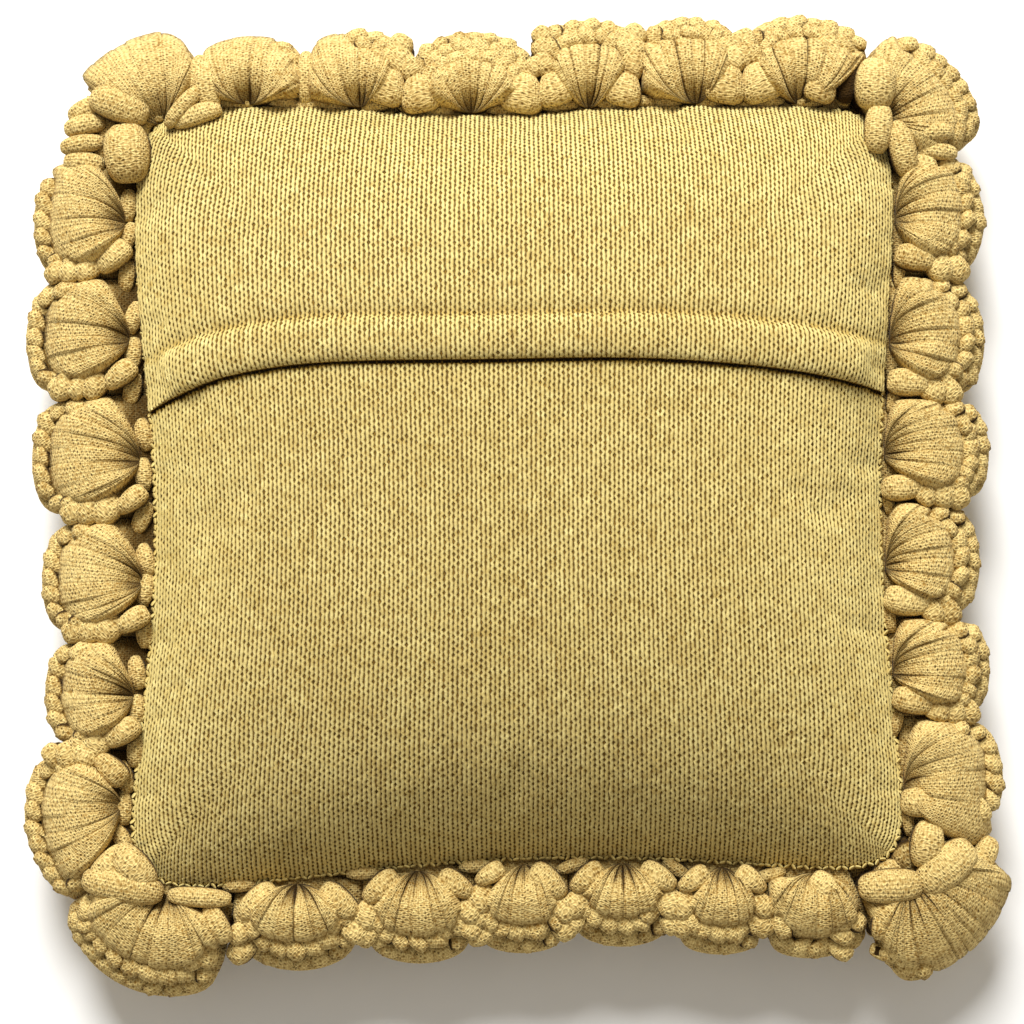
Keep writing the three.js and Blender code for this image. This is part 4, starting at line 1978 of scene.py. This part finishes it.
    def strand_maps(self, ring: StrandRing, rows: Array) -> Array:
        """Counts the stitches along and across each strand.

        Args:
            ring: the places round the belly.
            rows: the belly's points, by ring and place round it.

        Returns:
            Courses and wales at the four corners of each face, by ring and place.
        """
        relief = self.relief
        steps = lengths(np.diff(rows, axis=0))
        length = np.concatenate([np.zeros((1, len(ring.q))), np.cumsum(steps, axis=0)])
        courses = length / self.work.course_mm
        across = self.strand_plan(ring.edges, np.array([relief.wales_at]))[0]
        spans = lengths(np.diff(across, axis=0))
        wales = np.maximum(1.0, np.rint(2.0 * spans / self.work.wale_mm) / 2.0)
        owner, starts, ends = ring.spans()
        offset = self.rng.uniform(0.0, relief.map_shift, ring.count)[owner] + relief.map_step * owner
        near = np.broadcast_to(offset + starts * wales[owner], rows.shape[:2])
        far = np.broadcast_to(offset + ends * wales[owner], rows.shape[:2])
        after = np.roll(courses, -1, axis=1)
        corners = (
            (courses[:-1], near[:-1]),
            (after[:-1], far[:-1]),
            (after[1:], far[1:]),
            (courses[1:], near[1:]),
        )
        return np.stack([np.stack(corner, axis=-1) for corner in corners], axis=-2)

    def lay_band(self) -> None:
        """Lays the band along the rim that the chain is worked over."""
        row, chain = self.row, self.chain
        points, _, length = self.fan.rim(chain.band_half[0])
        share = length / length[-1] * 2.0 - 1.0
        keep = (share >= row.chain_from) & (share <= row.chain_to)
        line = points[keep][:: max(1, keep.sum() // chain.band_points)]
        path = self.fan.world(line, self.middle(lengths(line) / row.reach))
        swell = np.sqrt(np.maximum(0.0, 1.0 - np.linspace(-1.0, 1.0, len(path)) ** chain.band_power))
        half_width, half_height = (swell * half for half in chain.band_half)
        self.work.add(path, UP, half_width, half_height, chain.band_tone, chain.band_style)

    def lay_chain(self) -> None:
        """Works rows of chain stitches along the rim, above and below."""
        row, chain = self.row, self.chain
        for level in range(row.chain_rows):
            points, outward, length = self.fan.rim(chain.row_insets[level])
            count = max(2, round(length[-1] / chain.pitch))
            for sign in (1.0, -1.0):
                for i in range(count + 1 - level % 2):
                    share = (i + 0.5 * (level % 2)) / count
                    into = share * 2.0 - 1.0 - row.chain_from
                    left = row.chain_to - (share * 2.0 - 1.0)
                    if min(into, left) < -chain.margin:
                        continue
                    at = share * length[-1] + self.rng.normal(0.0, chain.place_spread)
                    spot = along_line(at, length, points)
                    out = unit(along_line(at, length, outward))
                    self.chain_stitch(spot, out, level, sign)

    def chain_stitch(self, spot: Array, out: Array, level: int, sign: float) -> None:
        """Works one chain stitch of the rim.

        Args:
            spot: the stitch's middle in the fan's own frame.
            out: the rim's outward direction there.
            level: the number of its row from the rim.
            sign: 1 on the upper side and -1 on the lower one.
        """
        chain = self.chain
        slant = math.radians(chain.slants[level % 2] + self.rng.normal(0.0, chain.slant_spread))
        along = np.array([out[1], -out[0]]) * math.cos(slant) + out * math.sin(slant)
        far = np.linalg.norm(spot) / self.row.reach
        half = np.array(chain.half) * self.rng.uniform(*chain.size_range, 3)
        height = max(self.half_thickness(far) - half[2] * chain.bed, chain.least_height)
        z = float(self.middle(far)) + sign * height + self.rng.normal(0.0, chain.height_spread)
        self.work.lump(
            self.fan.world(spot, z),
            self.fan.heading(spot, along),
            unit(UP * sign + self.fan.heading(spot, out) * chain.out_leans[level]),
            half,
            chain.arch,
            PLAIN_TONE + self.rng.normal(0.0, chain.tone_spread),
            chain.style,
        )

    def lay_fat_tapes(self) -> None:
        """Works the fat tapes beside the pinch, and fillers from there to the notch of the rims."""
        row, fat, side = self.row, self.fat, self.side
        outline = self.fan.outline()
        for hand, size, line in zip((-1.0, 1.0), (row.before, row.after), self.fan.lines):
            if not size:
                continue
            full = np.array(fat.half) * np.array([1.0, side.fat_width, 1.0])
            half = full * (fat.least_share + (1.0 - fat.least_share) * size)
            half *= self.rng.uniform(*fat.size_range)
            turn = math.radians(side.fat_turn + self.rng.uniform(*fat.turn_range))
            way = np.array([hand * math.sin(turn), math.cos(turn)])
            beside = half[0] * abs(way[0]) + half[1] * way[1]
            off_seam = half[0] * way[1] + half[1] * abs(way[0]) - fat.seam_tuck
            spot = np.array([hand * (line[1] - side.fat_inset * beside), off_seam])
            tapes = [(spot, way, half, side.fat_taper)]
            at_line = hand * outline[:, 0] > fat.notch_share * line[1]
            notch = outline[at_line, 1].max(initial=fat.notch_reach * row.reach)
            for out in off_seam + beside * fat.filler_start + np.array(fat.filler_out):
                if out < notch:
                    half = np.array(fat.filler_half) * self.rng.uniform(*fat.filler_range)
                    turn = math.radians(self.rng.uniform(*fat.filler_turns))
                    way = np.array([hand * math.sin(turn), math.cos(turn)])
                    spot = np.array([hand * (line[1] - fat.filler_inset * half[1]), out])
                    tapes.append((spot, way, half, 0.0))
            for spot, way, half, taper in tapes:
                for sign in (1.0, -1.0):
                    z = float(self.middle(spot[1] / row.reach)) + sign * (fat.top - half[2])
                    tone = PLAIN_TONE + self.rng.normal(0.0, fat.tone_spread)
                    centre, runs = self.fan.world(spot, z), self.fan.heading(spot, way)
                    self.work.lump(centre, runs, UP * sign, half, fat.arch, tone, fat.style, taper)

    def lay_corner_tapes(self) -> None:
        """Works the fat tapes of a corner, above and below."""
        fat = self.fat
        for tape in CORNER_TAPES.get(self.row.name, ()):
            turn = math.radians(tape.heading)
            runs = np.array([math.cos(turn), math.sin(turn), 0.0])
            out = (np.array([tape.x, tape.y]) - self.fan.root) @ self.fan.axis / self.row.reach
            middle = float(self.middle(np.clip(out, 0.0, 1.0)))
            half = (tape.length, tape.width, tape.height)
            for sign in (1.0, -1.0):
                centre = np.array([tape.x, tape.y, middle + sign * (tape.top - tape.height - middle)])
                tone = PLAIN_TONE + self.rng.normal(0.0, fat.corner_tone_spread)
                self.work.lump(centre, runs, UP * sign, half, fat.corner_arch, tone, fat.corner_style)

    def lay_first_row(self) -> None:
        """Works the first row of stitches along the seam."""
        row, first = self.row, self.first_row
        half = (first.half_length, first.half_width + first.width_by_gap * row.gap, first.half_height)
        start, end = -self.fan.lines[0][1], self.fan.lines[1][1]
        usual = first.standing_off if row.stands_off else first.close
        for share in self.side.first_row or usual:
            x = start + (end - start) * share + self.rng.normal(0.0, first.place_spread)
            spot = np.array([x, first.seam_gap + half[1] * first.out_share])
            runs = self.fan.heading(spot, np.array([1.0, self.rng.normal(0.0, first.turn_spread)]))
            tone = first.tone + self.rng.normal(0.0, first.tone_spread)
            centre = self.fan.world(spot, self.form.seam_z - first.sink)
            self.work.lump(centre, runs, UP, half, first.arch, tone)

    def core(self, material: Material) -> Piece:
        """Makes the inside of a shell.

        Args:
            material: the tape's material.

        Returns:
            The core.
        """
        inside = self.inside
        outline = self.fan.outline()[:: inside.every] * np.array(inside.spread)
        outline = np.concatenate([outline, [[0.0, inside.foot]]])
        middle = outline.mean(axis=0)
        shape = Spindle(len(outline), inside.rings).shape()
        polar = shape.ring / (inside.rings + 1.0) * math.pi
        number = np.rint(shape.angle / (2.0 * math.pi) * len(outline)).astype(int) % len(outline)
        number = (len(outline) - number) % len(outline)
        flat = middle + (outline[number] - middle) * (np.sin(polar) ** inside.fullness)[:, None]
        half = inside.least_half + inside.swell * smoothstep(flat[:, 1], *inside.swell_over)
        z = self.middle(flat[:, 1] / self.row.reach) - inside.sink + half * np.cos(polar)
        corners = np.concatenate([shape.faces[kind].ravel() for kind in FACE_KINDS])
        # Painted shade, deeper towards the seam where the pinch stands off.
        deep = inside.seam_painted_shade if self.row.stands_off else 0.0
        furthest, over = inside.seam_shade_over
        return new_piece(
            f"shell_core_{self.row.name}",
            self.fan.world(flat, z),
            [face for kind in FACE_KINDS for face in shape.faces[kind].tolist()],
            [material],
            flat[corners] / np.array(inside.stitch_mm),
            inside.tone - deep * smoothstep(furthest - flat[:, 1], 0.0, over),
        )


@dataclass
class ShellBorder:
    """The border: shells side by side round the seam."""

    form: CoverForm
    seam_gap: float = 0.4
    side_gap: float = 0.3
    seed: int = 5

    def fans(self) -> list[Fan]:
        """Places the shells along the seam, clockwise.

        Returns:
            Their plans.
        """
        fans = []
        for row in SHELL_ROWS:
            angle = math.radians(row.side.value + row.lean)
            a, b = row.side.place(row.along / self.form.half_side)
            axis = np.array([math.cos(angle), math.sin(angle)])
            fans.append(Fan(row, self.form.plan(a, b) + axis * self.seam_gap, angle))
        for i, fan in enumerate(fans):
            fan.press_on(fans[i - 1], self.side_gap)
            fan.press_on(fans[(i + 1) % len(fans)], self.side_gap)
        return fans

    def build(self) -> None:
        """Makes every shell."""
        tape = TAPE_KNIT.material()
        for number, fan in enumerate(self.fans()):
            Shell(fan, self.form, np.random.default_rng([self.seed, number])).build(tape)


@dataclass
class SeamEdge:
    """The linked edge of the knitted panels, a fine chain of yarn along the seam.

    Under it runs the seam allowance, which the shells are worked into. half is half of a
    stitch's length, width and thickness.
    """

    form: CoverForm
    pitch: float = 3.5
    half: Triple = (1.9, 0.95, 0.9)
    slant: float = 28.0
    slant_spread: float = 14.0
    out: float = 0.5
    lift: float = 1.6
    lift_spread: float = 0.4
    tone: float = 0.62
    tone_spread: float = 0.06
    style: TapeStyle = TapeStyle(sides=6, rings=3)
    ahead: float = 2.0
    side_points: int = 800
    ground_half: Pair = (12.0, 3.0)
    ground_z: float = 44.0
    # The seam allowance's low tone is painted shade.
    ground_shade_tone: float = 0.2
    ground_points: int = 241
    ground_style: TapeStyle = TapeStyle(sides=6, side_shade=0.0)
    seed: int = 23

    def line(self) -> tuple[Array, Array]:
        """Follows the seam once round.

        Returns:
            Points in plan and the length along them.
        """
        t = np.linspace(-1.0, 1.0, self.side_points + 1)[:-1]
        ones = np.ones_like(t)
        a = np.concatenate([t, ones, -t, -ones])
        b = np.concatenate([-ones, t, ones, -t])
        line = self.form.plan(a, b)
        line = np.concatenate([line, line[:1]])
        return line, lengths_along(line)

    def build_ground(self, material: Material) -> None:
        """Makes the seam allowance, which shows between the seam and the shells, in painted shade.

        Args:
            material: the tape's material.
        """
        line, length = self.line()
        path = along_line(np.linspace(0.0, length[-1], self.ground_points), length, line)
        path = np.concatenate([path, np.full((len(path), 1), self.ground_z)], axis=1)
        full = np.ones(len(path))
        full[[0, -1]] = 0.0
        half_width, half_height = (full * half for half in self.ground_half)
        work = TapeWork()
        work.add(path, UP, half_width, half_height, self.ground_shade_tone, self.ground_style)
        work.piece("seam_allowance", material)

    def build(self, material: Material) -> None:
        """Makes the edge, with its chain as one piece.

        Args:
            material: the edge's material.
        """
        line, length = self.line()
        rng = np.random.default_rng(self.seed)
        work = TapeWork()
        count = round(length[-1] / self.pitch)
        for i in range(count):
            at = i / count * length[-1]
            spot = along_line(at, length, line)
            tangent = unit(along_line((at + self.ahead) % length[-1], length, line) - spot)
            outward = np.array([tangent[1], -tangent[0]])
            turn = self.slant if i % 2 else -self.slant
            slant = math.radians(turn + rng.normal(0.0, self.slant_spread))
            along = tangent * math.cos(slant) + outward * math.sin(slant)
            z = self.form.seam_z + self.lift + rng.normal(0.0, self.lift_spread)
            tone = self.tone + rng.normal(0.0, self.tone_spread)
            centre = np.array([*(spot + outward * self.out), z])
            work.lump(centre, np.array([*along, 0.0]), UP, self.half, 0.0, tone, self.style)
        work.piece("seam_edge", material)


@dataclass
class Studio:
    """A white floor, a large soft light from the flap's side and the photograph's camera."""

    target: Triple = (-2.5, -12.0, 50.0)
    distance: float = 1120.0
    tilt: float = 6.0
    lens: float = 71.19
    shift: Pair = (-0.0005, -0.0068)
    key_power: float = 320.0
    key_size: float = 2.0
    key_from: Triple = (-0.6, 3.3, 2.9)
    fill: float = 0.4
    fill_colour: str = "#fff7ea"
    floor_half: float = 6000.0
    floor_drop: float = 0.5

    def build(self) -> None:
        """Makes the floor, the lights and the camera."""
        self.lay_floor()
        self.light()
        self.place_camera()

    def lay_floor(self) -> None:
        """Lays a wide sheet of white paper under the cushion."""
        sheet = bmesh.new()
        bmesh.ops.create_grid(sheet, x_segments=2, y_segments=2, size=self.floor_half * MM)
        mesh = bpy.data.meshes.new("studio_floor")
        sheet.to_mesh(mesh)
        sheet.free()
        mesh.materials.append(FLOOR_PAPER.material())
        floor = bpy.data.objects.new("studio_floor", mesh)
        floor.location.z = -self.floor_drop * MM
        bpy.context.scene.collection.objects.link(floor)

    def light(self) -> None:
        """Hangs the key light and sets the even light all round."""
        lamp = bpy.data.lights.new("key_light", "AREA")
        lamp.shape = "DISK"
        lamp.size = self.key_size
        lamp.energy = self.key_power
        key = bpy.data.objects.new("key_light", lamp)
        key.location = self.key_from
        key.rotation_mode = "QUATERNION"
        key.rotation_quaternion = Vector(self.key_from).to_track_quat("Z", "Y")
        bpy.context.scene.collection.objects.link(key)
        world = bpy.data.worlds.new("studio")
        world.use_nodes = True
        world.node_tree.nodes["Background"].inputs["Color"].default_value = linear(self.fill_colour)
        world.node_tree.nodes["Background"].inputs["Strength"].default_value = self.fill
        bpy.context.scene.world = world

    def place_camera(self) -> None:
        """Looks down on the cushion, a little from below its lower side."""
        lens = bpy.data.cameras.new("camera")
        lens.lens = self.lens
        lens.shift_x, lens.shift_y = self.shift
        camera = bpy.data.objects.new("camera", lens)
        lean = math.radians(self.tilt)
        back = Vector((0.0, -math.sin(lean), math.cos(lean)))
        camera.location = (Vector(self.target) + back * self.distance) * MM
        camera.rotation_mode = "QUATERNION"
        camera.rotation_quaternion = back.to_track_quat("Z", "Y")
        bpy.context.scene.collection.objects.link(camera)
        bpy.context.scene.camera = camera


def main() -> None:
    """Builds the cushion, dresses it and sets it in the studio."""
    logging.basicConfig(level=logging.INFO, format="%(message)s")
    bpy.context.scene.view_settings.view_transform = "Standard"
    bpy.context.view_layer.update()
    form = CoverForm()
    cover, surface = FilledCover(form).build()
    yarn = YARN.material()
    back = EnvelopeBack(form, surface, StitchField(surface))
    back.build_lower(yarn)
    back.build_flap(yarn)
    ShellBorder(form).build()
    edge = SeamEdge(form)
    edge.build(yarn)
    edge.build_ground(TAPE_KNIT.material())
    Studio().build()


if __name__ == "__main__":
    main()
